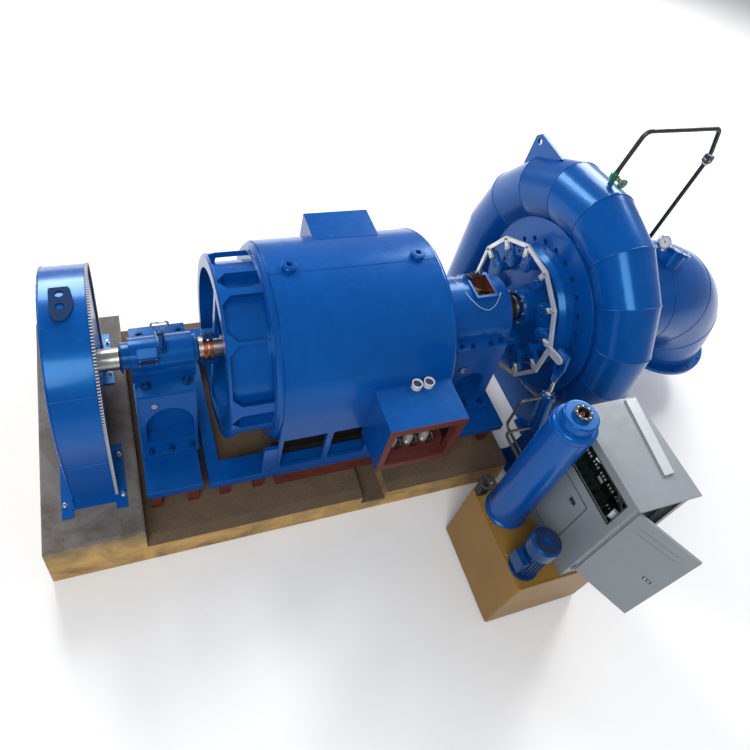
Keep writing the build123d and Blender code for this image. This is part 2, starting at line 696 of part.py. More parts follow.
# Turbine head cover with stem bosses and the shaft gland
with BuildPart() as head_cover:
    with BuildSketch(shaft_plane):
        with BuildLine():
            Polyline((ring_x0 + 60, shaft_drive_r - 19), (1640, shaft_drive_r - 19), (1640, shaft_drive_r + 12),
                     (gland_x0, shaft_drive_r + 12), (gland_x0, 172), (gland_x0 + 30, 172), (gland_x0 + 30, 150),
                     (1600, 150), (1600, 470), (1640, 500), (ring_x0, 510), (ring_x0, 430), (ring_x0 + 60, 430),
                     (ring_x0 + 60, shaft_drive_r - 19))
        make_face()
    revolve(axis=shaft_axis, revolution_arc=360)
    with BuildSketch(Plane.YZ.offset(lever_x0 + lever_thick + 6)):
        with Locations((0, shaft_z)):
            with PolarLocations(pivot_r, vane_count, vane_first):
                Circle(36)
    extrude(amount=1600 - lever_x0 - lever_thick - 6)
    with BuildSketch(Plane.YZ.offset(lever_x0 + lever_thick)):
        with Locations((0, shaft_z)):
            with PolarLocations(pivot_r, vane_count, vane_first):
                Circle(stem_r + running_gap)
    extrude(amount=120, mode=Mode.SUBTRACT)
head_cover.part.label = "head_cover"
export_step(head_cover.part, "parts/head_cover.step")

# Twelve-sided link ring with inward ears, drive pins and the servo arm
with BuildPart() as link_ring:
    with BuildSketch(Plane.YZ.offset(link_x0)):
        with Locations((0, shaft_z)):
            RegularPolygon(link_corner_r, vane_count, rotation=vane_first)
            RegularPolygon(link_corner_r - 34, vane_count, rotation=vane_first, mode=Mode.SUBTRACT)
            with PolarLocations((pin_circle_r + link_corner_r) / 2 - 8, vane_count, vane_first):
                Rectangle(link_corner_r - pin_circle_r - 16, 40)
            with PolarLocations(pin_circle_r, vane_count, vane_first):
                Circle(20)
            with PolarLocations((link_corner_r - 30 + servo_arm_r) / 2, 1, 180 - servo_angle):
                Rectangle(servo_arm_r - link_corner_r + 30, 64)
            with PolarLocations(servo_arm_r, 1, 180 - servo_angle):
                Circle(32)
    extrude(amount=link_thick)
    with BuildSketch(Plane.YZ.offset(link_x0)):
        with Locations((0, shaft_z)):
            with PolarLocations(pin_circle_r, vane_count, vane_first):
                Circle(link_pin_r)
            with PolarLocations(servo_arm_r, 1, 180 - servo_angle):
                Circle(servo_pin_r)
    extrude(amount=lever_x0 + lever_thick - link_x0 + 4)
link_ring.part.label = "link_ring"
export_step(link_ring.part, "parts/link_ring.step")

# Twelve slotted vane levers, each keyed to its stem
for k in range(vane_count):
    with BuildPart() as vane_lever:
        with BuildSketch(Plane.YZ.offset(lever_x0)):
            with Locations((0, shaft_z)):
                with PolarLocations(0, 1, vane_first + 30 * k):
                    with Locations(((pivot_r + pin_circle_r) / 2, 0)):
                        Rectangle(pin_circle_r - pivot_r, 2 * lever_half)
                    with Locations((pivot_r, 0)):
                        Circle(lever_half)
                    with Locations((pin_circle_r, 0)):
                        Circle(lever_half)
                    with Locations((pin_circle_r - 6, 0)):
                        SlotCenterToCenter(22, 2 * (link_pin_r + slot_gap), mode=Mode.SUBTRACT)
        extrude(amount=lever_thick)
        with BuildSketch(Plane.YZ.offset(lever_x0 - 4)):
            with Locations((0, shaft_z)):
                with PolarLocations(pivot_r, 1, vane_first + 30 * k):
                    Circle(stem_r)
        extrude(amount=lever_thick + 118)
    vane_lever.part.label = "lever_%02d" % (k + 1)
    export_step(vane_lever.part, "parts/lever_%02d.step" % (k + 1))

# Servomotor axis in the plane of the levers
servo_up = (0, sin(radians(servo_angle)), cos(radians(servo_angle)))
servo_pin = (servo_x, -servo_arm_r * cos(radians(servo_angle)), shaft_z + servo_arm_r * sin(radians(servo_angle)))
servo_face = Plane(origin=servo_pin, x_dir=(0, cos(radians(servo_angle)), -sin(radians(servo_angle))),
                   z_dir=(1, 0, 0))
servo_line = Plane(origin=servo_pin, x_dir=(1, 0, 0), z_dir=servo_up)

# Servo clevis: slotted plate with a socket nut for the rod
with BuildPart() as servo_clevis:
    with BuildSketch(servo_face.offset(-lever_thick / 2)):
        with BuildLine():
            Polyline((-60, 66), (60, 66), (60, -66), (26, -170), (-26, -170), (-60, -66), (-60, 66))
        make_face()
        SlotCenterToCenter(10, 2 * (servo_pin_r + slot_gap), mode=Mode.SUBTRACT)
    extrude(amount=lever_thick)
    with BuildSketch(servo_line.offset(-205)):
        RegularPolygon(27, 6)
    extrude(amount=45)
servo_clevis.part.label = "servo_clevis"
export_step(servo_clevis.part, "parts/servo_clevis.step")

# Servo piston rod
with BuildPart() as servo_rod:
    with BuildSketch(servo_line.offset(-500)):
        Circle(16)
    extrude(amount=295)
servo_rod.part.label = "servo_rod"
export_step(servo_rod.part, "parts/servo_rod.step")

# Servo cylinder with end heads and lower eye
with BuildPart() as servo_cylinder:
    with BuildSketch(servo_line.offset(-715)):
        Circle(50)
    extrude(amount=370)
    with BuildSketch(servo_line.offset(-385)):
        Circle(60)
    extrude(amount=40)
    with BuildSketch(servo_line.offset(-715)):
        Circle(60)
    extrude(amount=40)
    with BuildSketch(servo_face.offset(-14)):
        with Locations((0, -770)):
            Circle(40)
        with Locations((0, -735)):
            Rectangle(80, 70)
        with Locations((0, -770)):
            Circle(15, mode=Mode.SUBTRACT)
    extrude(amount=28)
    with BuildSketch(servo_line.offset(-345)):
        Circle(16 + running_gap)
    extrude(amount=-235, mode=Mode.SUBTRACT)
servo_cylinder.part.label = "servo_cylinder"
export_step(servo_cylinder.part, "parts/servo_cylinder.step")

# Servo stand: foot plate, two cheeks and the eye pin
eye_y = servo_pin[1] - 770 * servo_up[1]
eye_z = servo_pin[2] - 770 * servo_up[2]
with BuildPart() as servo_stand:
    with BuildSketch(Plane.XY):
        with Locations((servo_x, eye_y)):
            Rectangle(190, 280)
    extrude(amount=22)
    for cheek_x in (servo_x - 32, servo_x + 18):
        with BuildSketch(Plane.YZ.offset(cheek_x)):
            with BuildLine():
                Polyline((eye_y - 110, 22), (eye_y + 110, 22), (eye_y + 42, eye_z), (eye_y - 42, eye_z),
                         (eye_y - 110, 22))
            make_face()
            with Locations((eye_y, eye_z)):
                Circle(42)
        extrude(amount=14)
    with BuildSketch(Plane.XZ.offset(-eye_y - 6)):
        with Locations((servo_x, 200)):
            Rectangle(50, 356)
    extrude(amount=12)
    with BuildSketch(Plane.YZ.offset(servo_x - 44)):
        with Locations((eye_y, eye_z)):
            Circle(15)
    extrude(amount=88)
servo_stand.part.label = "servo_stand"
export_step(servo_stand.part, "parts/servo_stand.step")

# Draft tube: straight piece, elbow and outlet flange, with a covered neck and a gauge stem
gauge_x = 2667.0
gauge_y = -18.0
gauge_z = 1710.0
neck_flange_r = 120.0
with BuildPart() as draft_elbow:
    with BuildSketch(Plane.YZ.offset(ring_x1)):
        with Locations((0, shaft_z)):
            Circle(draft_r)
    extrude(amount=draft_x - ring_x1)
    with BuildSketch(Plane.YZ.offset(draft_x)):
        with Locations((0, shaft_z)):
            Circle(draft_r)
    revolve(axis=Axis((draft_x, 0, shaft_z - draft_bend), (0, 1, 0)), revolution_arc=90)
    with BuildSketch(Plane.XY.offset(400)):
        with Locations((draft_x + draft_bend, 0)):
            Circle(draft_r)
    extrude(amount=shaft_z - draft_bend - 400)
    with BuildSketch(Plane.YZ.offset(ring_x1)):
        with Locations((0, shaft_z)):
            Circle(draft_r + 90)
    extrude(amount=40)
    with BuildSketch(Plane.XY.offset(400)):
        with Locations((draft_x + draft_bend, 0)):
            Circle(draft_r + 70)
    extrude(amount=36)
    with BuildSketch(Plane.XY.offset(400)):
        with Locations((draft_x + draft_bend, 0)):
            Circle(draft_r - 14)
    extrude(amount=60, mode=Mode.SUBTRACT)
    with BuildSketch(Plane.XY.offset(400)):
        with Locations((draft_x + draft_bend, 0)):
            with PolarLocations(draft_r + 38, 16, 11.25):
                Circle(12)
    extrude(amount=36, mode=Mode.SUBTRACT)
    neck_plane = Plane(origin=(draft_x + 72, -45, shaft_z + draft_r + 56), x_dir=(0.9, 0, -0.36), z_dir=(0.36, 0.26, 0.9))
    with BuildSketch(neck_plane.offset(-200)):
        Circle(neck_flange_r - 32)
    extrude(amount=210)
    with BuildSketch(neck_plane):
        Circle(neck_flange_r)
    extrude(amount=20)
    with BuildSketch(Plane.XY.offset(shaft_z + 300)):
        with Locations((gauge_x, gauge_y)):
            Circle(22)
    extrude(amount=gauge_z - 62 - shaft_z - 300)
    for rib_angle in (45, 135, 225, 315):
        rib_y = -cos(radians(rib_angle))
        rib_z = sin(radians(rib_angle))
        rib_plane = Plane(origin=(ring_x1, 0, shaft_z), x_dir=(1, 0, 0), z_dir=(0, -rib_z, rib_y))
        with BuildSketch(rib_plane):
            with BuildLine():
                Polyline((38, draft_r - 10), (300, draft_r - 10), (38, draft_r + 86), (38, draft_r - 10))
            make_face()
        extrude(amount=9, both=True)
draft_elbow.part.label = "draft_elbow"
export_step(draft_elbow.part, "parts/draft_elbow.step")

# Saddle stand under the draft tube
with BuildPart() as draft_saddle:
    with BuildSketch(Plane.YZ.offset(2480)):
        with BuildLine():
            Polyline((-420, 0), (420, 0), (420, 26), (300, 26), (330, 900), (-330, 900), (-300, 26), (-420, 26),
                     (-420, 0))
        make_face()
        with Locations((0, 330)):
            Circle(150, mode=Mode.SUBTRACT)
    extrude(amount=160)
    with BuildSketch(Plane.YZ.offset(2520)):
        with Locations((0, 480)):
            Rectangle(900, 800)
        with Locations((0, 480)):
            Rectangle(560, 800, mode=Mode.SUBTRACT)
    extrude(amount=80, mode=Mode.SUBTRACT)
    with BuildSketch(Plane.YZ.offset(2470)):
        with Locations((0, shaft_z)):
            Circle(draft_r)
    extrude(amount=180, mode=Mode.SUBTRACT)
draft_saddle.part.label = "draft_saddle"
export_step(draft_saddle.part, "parts/draft_saddle.step")

# Turbine feet: two cross plates with sole flanges under the spiral case
with BuildPart() as turbine_feet:
    for plate_x in (1790, 1990):
        with BuildSketch(Plane.YZ.offset(plate_x)):
            with BuildLine():
                Polyline((-620, 0), (620, 0), (620, 30), (560, 30), (480, 560), (-480, 560), (-560, 30),
                         (-620, 30), (-620, 0))
            make_face()
        extrude(amount=34)
    with BuildSketch(Plane.XY):
        with Locations((1907, -540), (1907, 540)):
            Rectangle(330, 160)
    extrude(amount=30)
    add(spiral_case.part, mode=Mode.SUBTRACT)
    with BuildSketch(Plane.XY):
        with Locations((scroll_x, 962)):
            Circle(401)
    extrude(amount=shaft_z, mode=Mode.SUBTRACT)
turbine_feet.part.label = "turbine_feet"
export_step(turbine_feet.part, "parts/turbine_feet.step")

# Vent valve on the crown of the spiral case
with BuildPart() as vent_valve:
    with BuildSketch(Plane.XY.offset(2170)):
        with Locations((1935, 140)):
            Circle(20)
    extrude(amount=150)
    with BuildSketch(Plane.XY.offset(2260)):
        with Locations((1935, 140)):
            Circle(34)
    extrude(amount=46)
    with BuildSketch(Plane.XZ.offset(-140)):
        with Locations((1935, 2283)):
            Circle(13)
    extrude(amount=90)
    with BuildSketch(Plane.XZ.offset(-50)):
        with Locations((1935, 2283)):
            Circle(40)
    extrude(amount=10)
    add(spiral_case.part, mode=Mode.SUBTRACT)
vent_valve.part.label = "vent_valve"
export_step(vent_valve.part, "parts/vent_valve.step")

# Bypass pipe from the vent valve to the draft tube
with BuildPart() as bypass_pipe:
    with BuildLine() as bypass_path:
        FilletPolyline((1935, 140, 2320), (1985, 140, 2650), (2645, 140, 2660), (2735, 140, 2420),
                       (2690, 140, 1420), radius=60)
    with BuildSketch(Plane(origin=(1935, 140, 2320), z_dir=(50, 0, 330))):
        Circle(17)
    sweep()
    with BuildSketch(Plane.XZ.offset(-140)):
        with Locations((2735, 2400)):
            Rectangle(52, 60)
    extrude(amount=26, both=True)
    add(draft_elbow.part, mode=Mode.SUBTRACT)
    add(vent_valve.part, mode=Mode.SUBTRACT)
bypass_pipe.part.label = "bypass_pipe"
export_step(bypass_pipe.part, "parts/bypass_pipe.step")

# Pressure gauge on a stem above the draft tube
with BuildPart() as pressure_gauge:
    with BuildSketch(Plane.XY.offset(gauge_z - 62)):
        with Locations((gauge_x, gauge_y)):
            Circle(9)
    extrude(amount=40)
    with BuildSketch(Plane(origin=(gauge_x, gauge_y, gauge_z), z_dir=(-0.30, -0.72, 0.62))):
        Circle(54)
    extrude(amount=17, both=True)
pressure_gauge.part.label = "pressure_gauge"
export_step(pressure_gauge.part, "parts/pressure_gauge.step")

# Governor oil tank with a lidded top
tank_x0 = 693.0
tank_x1 = 1480.0
tank_y0 = -1975.0
tank_y1 = -1246.0
tank_top = 684.0
with BuildPart() as oil_tank:
    with BuildSketch(Plane.XY.offset(20)):
        with Locations(((tank_x0 + tank_x1) / 2, (tank_y0 + tank_y1) / 2)):
            Rectangle(tank_x1 - tank_x0, tank_y1 - tank_y0)
    extrude(amount=tank_top - 20)
    fillet(oil_tank.edges().filter_by(Axis.Z), radius=14)
    with BuildSketch(Plane.XY):
        with Locations((tank_x0 + 60, tank_y0 + 60), (tank_x1 - 60, tank_y0 + 60), (tank_x0 + 60, tank_y1 - 60),
                       (tank_x1 - 60, tank_y1 - 60)):
            Rectangle(80, 80)
    extrude(amount=20)
    chamfer(oil_tank.edges().group_by(Axis.Z)[-1], length=4)
oil_tank.part.label = "oil_tank"
export_step(oil_tank.part, "parts/oil_tank.step")

# Pressure accumulator with a foot flange, a stepped head and an open port on top
acc_x = 868.0
acc_y = -1442.0
acc_r = 140.0
with BuildPart() as accumulator:
    with BuildSketch(Plane(origin=(acc_x, acc_y, tank_top), x_dir=(1, 0, 0), z_dir=(0, -1, 0))):
        with BuildLine():
            Line((0, 0), (acc_r + 10, 0))
            Line((acc_r + 10, 0), (acc_r + 10, 14))
            Line((acc_r + 10, 14), (acc_r, 22))
            Line((acc_r, 22), (acc_r, 1118))
            ThreePointArc((acc_r, 1118), (acc_r - 7, 1136), (acc_r - 24, 1144))
            Line((acc_r - 24, 1144), (acc_r - 32, 1144))
            Line((acc_r - 32, 1144), (acc_r - 32, 1206))
            ThreePointArc((acc_r - 32, 1206), (acc_r - 36, 1213), (acc_r - 44, 1216))
            Line((acc_r - 44, 1216), (52, 1216))
            Line((52, 1216), (52, 1240))
            Line((52, 1240), (36, 1240))
            Line((36, 1240), (36, 1190))
            Line((36, 1190), (0, 1190))
            Line((0, 1190), (0, 0))
        make_face()
    revolve(axis=Axis((acc_x, acc_y, 0), (0, 0, 1)), revolution_arc=360)
accumulator.part.label = "accumulator"
export_step(accumulator.part, "parts/accumulator.step")

# Vertical pump motor with flange, cooling ribs, terminal cover and fan cowl
motor_x = 797.0
motor_y = -1835.0
with BuildPart() as pump_motor:
    with BuildSketch(Plane.XY.offset(tank_top)):
        with Locations((motor_x, motor_y)):
            Circle(100)
    extrude(amount=18)
    with BuildSketch(Plane.XY.offset(tank_top + 18)):
        with Locations((motor_x, motor_y)):
            Circle(78)
            with PolarLocations(82, 24):
                Rectangle(16, 5)
    extrude(amount=290)
    with BuildSketch(Plane.XY.offset(tank_top + 300)):
        with Locations((motor_x, motor_y)):
            Circle(98)
    extrude(amount=116)
    chamfer(pump_motor.edges().group_by(Axis.Z)[-1], length=16)
    with BuildSketch(Plane.XY.offset(tank_top + 110)):
        with Locations((motor_x - 96, motor_y)):
            Rectangle(60, 110)
    extrude(amount=120)
pump_motor.part.label = "pump_motor"
export_step(pump_motor.part, "parts/pump_motor.step")

# Valve block with handwheel behind the accumulator
valve_x = 738.0
valve_y = -1280.0
with BuildPart() as valve_block:
    with BuildSketch(Plane.XY.offset(tank_top)):
        with Locations((valve_x, valve_y)):
            Rectangle(70, 60)
    extrude(amount=110)
    with BuildSketch(Plane.XY.offset(tank_top + 110)):
        with Locations((valve_x, valve_y)):
            Circle(14)
    extrude(amount=70)
    with BuildSketch(Plane.XY.offset(tank_top + 150)):
        with Locations((valve_x, valve_y)):
            Circle(62)
            Circle(46, mode=Mode.SUBTRACT)
            Rectangle(100, 14)
            Rectangle(14, 100)
    extrude(amount=14)
valve_block.part.label = "valve_block"
export_step(valve_block.part, "parts/valve_block.step")

# Governor cabinet on the tank: side window, hatch panel, door opening, roof sheet and roof strip
cab_x0 = 1020.0
cab_x1 = 1465.0
cab_y0 = -1960.0
cab_y1 = -1300.0
cab_top = 1711.0
cab_sheet = 6.0
cab_floor = tank_top + 60
roof_thick = 14.0
cab_x = (cab_x0 + cab_x1) / 2
cab_y = (cab_y0 + cab_y1) / 2
door_z0 = 860.0
door_h = 825.0
door_w = 372.0
with BuildPart() as cabinet:
    with BuildSketch(Plane.XY.offset(tank_top)):
        with Locations((cab_x, cab_y)):
            Rectangle(cab_x1 - cab_x0, cab_y1 - cab_y0)
    extrude(amount=cab_top - roof_thick - tank_top)
    fillet(cabinet.edges().filter_by(Axis.Z), radius=6)
    with BuildSketch(Plane.XY.offset(cab_floor)):
        with Locations((cab_x, cab_y)):
            Rectangle(cab_x1 - cab_x0 - 2 * cab_sheet, cab_y1 - cab_y0 - 2 * cab_sheet)
    extrude(amount=cab_top - roof_thick - cab_floor, mode=Mode.SUBTRACT)
    with BuildSketch(Plane.XZ.offset(-cab_y0)):
        with Locations((cab_x, door_z0 + door_h / 2)):
            Rectangle(door_w - 14, door_h - 30)
    extrude(amount=-40, mode=Mode.SUBTRACT)
    with BuildSketch(Plane.YZ.offset(cab_x0)):
        with Locations((-1712.5, 1528)):
            Rectangle(405, 236)
    extrude(amount=20, mode=Mode.SUBTRACT)
    with BuildSketch(Plane.YZ.offset(cab_x0)):
        with Locations((-1712.5, 1528)):
            Rectangle(477, 308)
            Rectangle(405, 236, mode=Mode.SUBTRACT)
        with Locations((-1565.5, 1055)):
            Rectangle(411, 510)
    extrude(amount=-5)
    with BuildSketch(Plane.XY.offset(cab_top - roof_thick)):
        with Locations((cab_x, cab_y - 12.5)):
            Rectangle(cab_x1 - cab_x0, cab_y1 - cab_y0 + 25)
    extrude(amount=roof_thick)
    with BuildSketch(Plane.XY.offset(cab_top)):
        with BuildLine():
            Polyline((1369, -1316), (1449, -1318), (1371, -1826), (1299, -1830), (1369, -1316))
        make_face()
    extrude(amount=12)
cabinet.part.label = "cabinet"
export_step(cabinet.part, "parts/cabinet.step")

# Oil lines from the tank to the servo cylinder's ports
port_y = [servo_pin[1] - down * servo_up[1] for down in (365, 695)]
port_z = [servo_pin[2] - down * servo_up[2] for down in (365, 695)]
with BuildPart() as oil_lines:
    with BuildLine():
        FilletPolyline((servo_x - 59, port_y[0], port_z[0]), (1280, port_y[0], port_z[0]),
                       (1280, port_y[0], 560), (1280, tank_y1, 560), radius=45)
    with BuildSketch(Plane(origin=(servo_x - 59, port_y[0], port_z[0]), z_dir=(-1, 0, 0))):
        Circle(12)
    sweep()
    with BuildLine():
        FilletPolyline((servo_x - 59, port_y[1], port_z[1]), (1225, port_y[1], port_z[1]),
                       (1225, tank_y1, port_z[1]), radius=45)
    with BuildSketch(Plane(origin=(servo_x - 59, port_y[1], port_z[1]), z_dir=(-1, 0, 0))):
        Circle(12)
    sweep()
    add(servo_cylinder.part, mode=Mode.SUBTRACT)
oil_lines.part.label = "oil_lines"
export_step(oil_lines.part, "parts/oil_lines.step")

# Cabinet door, standing open on its front left hinge, a shallow tray of sheet
door_open = -61.0
hinge_x = cab_x0 + 22.0
hinge_y = cab_y0 - 14.0
door_plane = Plane(origin=(hinge_x, hinge_y, door_z0), x_dir=(cos(radians(door_open)), sin(radians(door_open)), 0),
                   z_dir=(0, 0, 1))
with BuildPart() as cabinet_door:
    with BuildSketch(door_plane):
        with Locations((door_w / 2 + 5, -8)):
            Rectangle(door_w, 16)
        Circle(7)
    extrude(amount=door_h)
    with BuildSketch(door_plane.offset(12)):
        with Locations((door_w / 2 + 5, -4)):
            Rectangle(door_w - 24, 14)
    extrude(amount=door_h - 24, mode=Mode.SUBTRACT)
cabinet_door.part.label = "cabinet_door"
export_step(cabinet_door.part, "parts/cabinet_door.step")

# Hinge barrels on the cabinet's front edge
with BuildPart() as door_hinges:
    with BuildSketch(Plane.XY.offset(door_z0 - 42)):
        with Locations((hinge_x, hinge_y)):
            Circle(9)
        with Locations((hinge_x, hinge_y + 7)):
            Rectangle(18, 14)
    extrude(amount=41.5)
    with BuildSketch(Plane.XY.offset(door_z0 + door_h)):
        with Locations((hinge_x, hinge_y)):
            Circle(9)
        with Locations((hinge_x, hinge_y + 7)):
            Rectangle(18, 14)
    extrude(amount=cab_top - roof_thick - door_z0 - door_h)
door_hinges.part.label = "door_hinges"
export_step(door_hinges.part, "parts/door_hinges.step")

# Electronics racks and oil manifold inside the cabinet
with BuildPart() as cabinet_gear:
    with BuildSketch(Plane.XY.offset(cab_floor)):
        with Locations((cab_x1 - 76, cab_y + 10)):
            Rectangle(140, 560)
    extrude(amount=880)
    with BuildSketch(Plane.XY.offset(cab_floor)):
        with Locations((cab_x - 60, cab_y + 160), (cab_x - 60, cab_y - 20)):
            Rectangle(150, 120)
    extrude(amount=430)
    with BuildSketch(Plane.XY.offset(cab_floor + 430)):
        with Locations((cab_x - 60, cab_y + 70)):
            Rectangle(170, 330)
    extrude(amount=24)
cabinet_gear.part.label = "cabinet_gear"
export_step(cabinet_gear.part, "parts/cabinet_gear.step")
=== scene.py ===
import json
import bpy
import bmesh
from math import sin, cos, radians, pi, sqrt, atan2
from mathutils import Matrix, Vector


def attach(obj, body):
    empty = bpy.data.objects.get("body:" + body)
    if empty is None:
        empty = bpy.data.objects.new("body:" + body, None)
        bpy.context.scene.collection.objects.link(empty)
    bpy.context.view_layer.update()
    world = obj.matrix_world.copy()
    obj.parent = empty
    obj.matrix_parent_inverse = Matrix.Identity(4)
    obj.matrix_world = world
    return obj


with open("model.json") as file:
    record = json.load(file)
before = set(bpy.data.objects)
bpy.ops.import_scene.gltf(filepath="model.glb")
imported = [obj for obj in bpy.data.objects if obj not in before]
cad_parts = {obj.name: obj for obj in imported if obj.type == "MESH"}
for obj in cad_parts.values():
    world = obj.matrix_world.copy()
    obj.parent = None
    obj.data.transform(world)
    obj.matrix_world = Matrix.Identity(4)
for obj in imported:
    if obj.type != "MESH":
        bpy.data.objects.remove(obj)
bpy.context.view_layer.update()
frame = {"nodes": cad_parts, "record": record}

# Stations and levels of the machine in metres: x along the shaft line, y across it, z over the floor
SHAFT_Z = 1.097
FRAME_TOP = 0.46
GUARD_X0, GUARD_X1, GUARD_R = -1.912, -1.652, 0.636
EDGING_R, GUARD_LEG = 0.632, 0.637
NDE_X0, NDE_X1, NDE_MID = -1.446, -1.071, -1.2585
SLIP_RING_XS = (-0.975, -0.935)
SHELL_X0, SHELL_X1, SHELL_R = -0.591, 0.575, 0.700
LIFTING_BOSS_XS = (-0.455, 0.445)
TERMINAL_XS = (0.165, 0.285, 0.405)
SLEEVE_XS, SLEEVE_Y = (0.298, 0.386), -0.708
DE_X0, DE_X1 = 0.790, 1.310
HATCH_X, HATCH_Y = 1.105, 0.010
THROWER_X = 1.440
LINK_FACE_X, LINK_PIN_R = 1.480, 0.480
LEVER_FACE_X, STEM_R = 1.5062, 0.378
CASE_X0, CASE_X1 = 1.705, 2.110
SCROLL_X = 1.907
TUBE_X0, ELBOW_X, BEND_R, TUBE_SEAM_R = 2.420, 2.775, 0.619, 0.4505
TANK_TOP = 0.684
LID_X, LID_Y = 0.850, -1.640
BREATHER_X, BREATHER_Y = 0.960, -1.300
VESSEL_X, VESSEL_Y, VESSEL_SEAM_R = 0.868, -1.442, 0.1398
MOTOR_X, MOTOR_Y, COWL_TOP = 0.797, -1.835, 1.0998
ROOF_Z = 1.7228
HATCH_LOCK_Y, HATCH_LOCK_Z = -1.679, 1.224
RACK_Y0, RACK_Z0, RACK_STEP_Y, RACK_STEP_Z = -1.845, 1.585, 0.086, 0.115
DOOR_HINGE, DOOR_ANGLE = Vector((1.042, -1.974, 0)), radians(-61.0)
DOOR_LOCK_ACROSS, DOOR_LOCK_Z = 0.292, 1.268

ALONG_X = (1, 0, 0)
TO_FLYWHEEL = (-1, 0, 0)
TO_FRONT = (0, -1, 0)


# Placing and building

def move(x, y, z):
    """Shift without a turn."""
    return Matrix.Translation((x, y, z))


def facing(x, y, z, out=(0, 0, 1), turn=0.0):
    """Place with its own Z axis pointing out of the surface."""
    upright = Vector(out).normalized().to_track_quat("Z", "Y").to_matrix().to_4x4()
    return move(x, y, z) @ upright @ Matrix.Rotation(radians(turn), 4, "Z")


def round_shaft(x, radius, degrees, out=TO_FLYWHEEL, turn=0.0):
    """Place on a circle about the shaft line; degrees run from +Y over the top."""
    a = radians(degrees)
    return facing(x, radius * cos(a), SHAFT_Z + radius * sin(a), out, turn)


def lathe(bm, profile, place, steps=32, closed=False):
    """Turns a profile of (radius, height) points about the place's Z axis."""
    verts = [bm.verts.new((r, 0, h)) for r, h in profile]
    edges = [bm.edges.new(pair) for pair in zip(verts, verts[1:])]
    if closed:
        edges.append(bm.edges.new((verts[-1], verts[0])))
    bmesh.ops.spin(bm, geom=verts + edges, cent=(0, 0, 0), axis=(0, 0, 1), angle=2 * pi, steps=steps,
                   use_merge=True)
    # everything joined to the profile, each vertex once and always in the same order
    grown = dict.fromkeys(verts)
    stack = list(verts)
    while stack:
        for edge in stack.pop().link_edges:
            for v in edge.verts:
                if v not in grown:
                    grown[v] = None
                    stack.append(v)
    bmesh.ops.remove_doubles(bm, verts=list(grown), dist=1e-6)
    bmesh.ops.transform(bm, matrix=place, verts=[v for v in grown if v.is_valid])


def block(bm, size, place, bevel=0.0):
    """Rectangular plate or bar centred on the place, its edges rounded."""
    made = bmesh.ops.create_cube(bm, size=1.0, matrix=place @ Matrix.Diagonal((*size, 1.0)))
    if bevel:
        edges = dict.fromkeys(e for v in made["verts"] for e in v.link_edges)
        bmesh.ops.bevel(bm, geom=list(edges), offset=bevel, segments=2, profile=0.5, affect="EDGES",
                        material=-1)


def drum(bm, radius, depth, place, segments=24, top=None):
    """Closed round or many-sided disc standing on the place."""
    bmesh.ops.create_cone(bm, cap_ends=True, segments=segments, radius1=radius,
                          radius2=radius if top is None else top, depth=depth,
                          matrix=place @ move(0, 0, depth / 2))


def hex_bolt(bm, place, size, stud=0.0):
    """Washer and chamfered hexagon head for one thread size, with a stud end above a nut."""
    drum(bm, size, size * 0.16, place, 20)
    drum(bm, size * 0.86, size * 0.52, place @ move(0, 0, size * 0.16), 6)
    drum(bm, size * 0.86, size * 0.10, place @ move(0, 0, size * 0.68), 6, top=size * 0.72)
    if stud:
        drum(bm, size * 0.5, stud, place @ move(0, 0, size * 0.78), 12)


def plate(bm, outline, thickness, place, holes=()):
    """Flat plate from its outline, with round holes (x, y, radius) through it."""
    edges = []
    loops = [list(outline)]
    for hx, hy, hr in holes:
        loops.append([(hx + hr * cos(k * pi / 10), hy + hr * sin(k * pi / 10)) for k in range(20)])
    for loop in loops:
        ring = [bm.verts.new((x, y, 0)) for x, y in loop]
        edges += [bm.edges.new((ring[i], ring[(i + 1) % len(ring)])) for i in range(len(ring))]
    filled = bmesh.ops.triangle_fill(bm, use_beauty=True, edges=edges)
    faces = [f for f in filled["geom"] if isinstance(f, bmesh.types.BMFace)]
    made = bmesh.ops.extrude_face_region(bm, geom=faces)
    top = [v for v in made["geom"] if isinstance(v, bmesh.types.BMVert)]
    bmesh.ops.translate(bm, vec=(0, 0, thickness), verts=top)
    under = dict.fromkeys(v for f in faces for v in f.verts)
    bmesh.ops.transform(bm, matrix=place, verts=[*under, *top])


def belly(bm, radius, thick, x0, x1, from_deg, to_deg, steps=36):
    """Curved sheet about the shaft line between two angles from +Y over the top."""
    rows = []
    for k in range(steps + 1):
        a = radians(from_deg + (to_deg - from_deg) * k / steps)
        rows.append([bm.verts.new((x, r * cos(a), SHAFT_Z + r * sin(a)))
                     for x in (x0, x1) for r in (radius, radius + thick)])
    for p, q in zip(rows, rows[1:]):
        for i, j in ((0, 1), (1, 3), (3, 2), (2, 0)):
            bm.faces.new((p[i], p[j], q[j], q[i]))
    for end in (rows[0], rows[-1]):
        bm.faces.new((end[0], end[1], end[3], end[2]))


def lever_turn(place, angle):
    """Turn that lays a block's length along the lever, out from the shaft line."""
    out = place.to_3x3().inverted() @ Vector((0, cos(angle), sin(angle)))
    return Matrix.Rotation(atan2(out.y, out.x), 4, "Z")


def ring_points(place, radius, count):
    """Points of a circle about the place's Z axis."""
    turns = [2 * pi * k / count for k in range(count)]
    return [place @ Vector((radius * cos(a), radius * sin(a), 0)) for a in turns]


def finish_mesh(name, mesh, finish, body, angle):
    """Puts a finished mesh into the scene on its body."""
    obj = bpy.data.objects.new(name, mesh)
    bpy.context.scene.collection.objects.link(obj)
    mesh.materials.clear()
    mesh.materials.append(finish)
    mesh.shade_smooth()
    mesh.set_sharp_from_angle(angle=radians(angle))
    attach(obj, body)


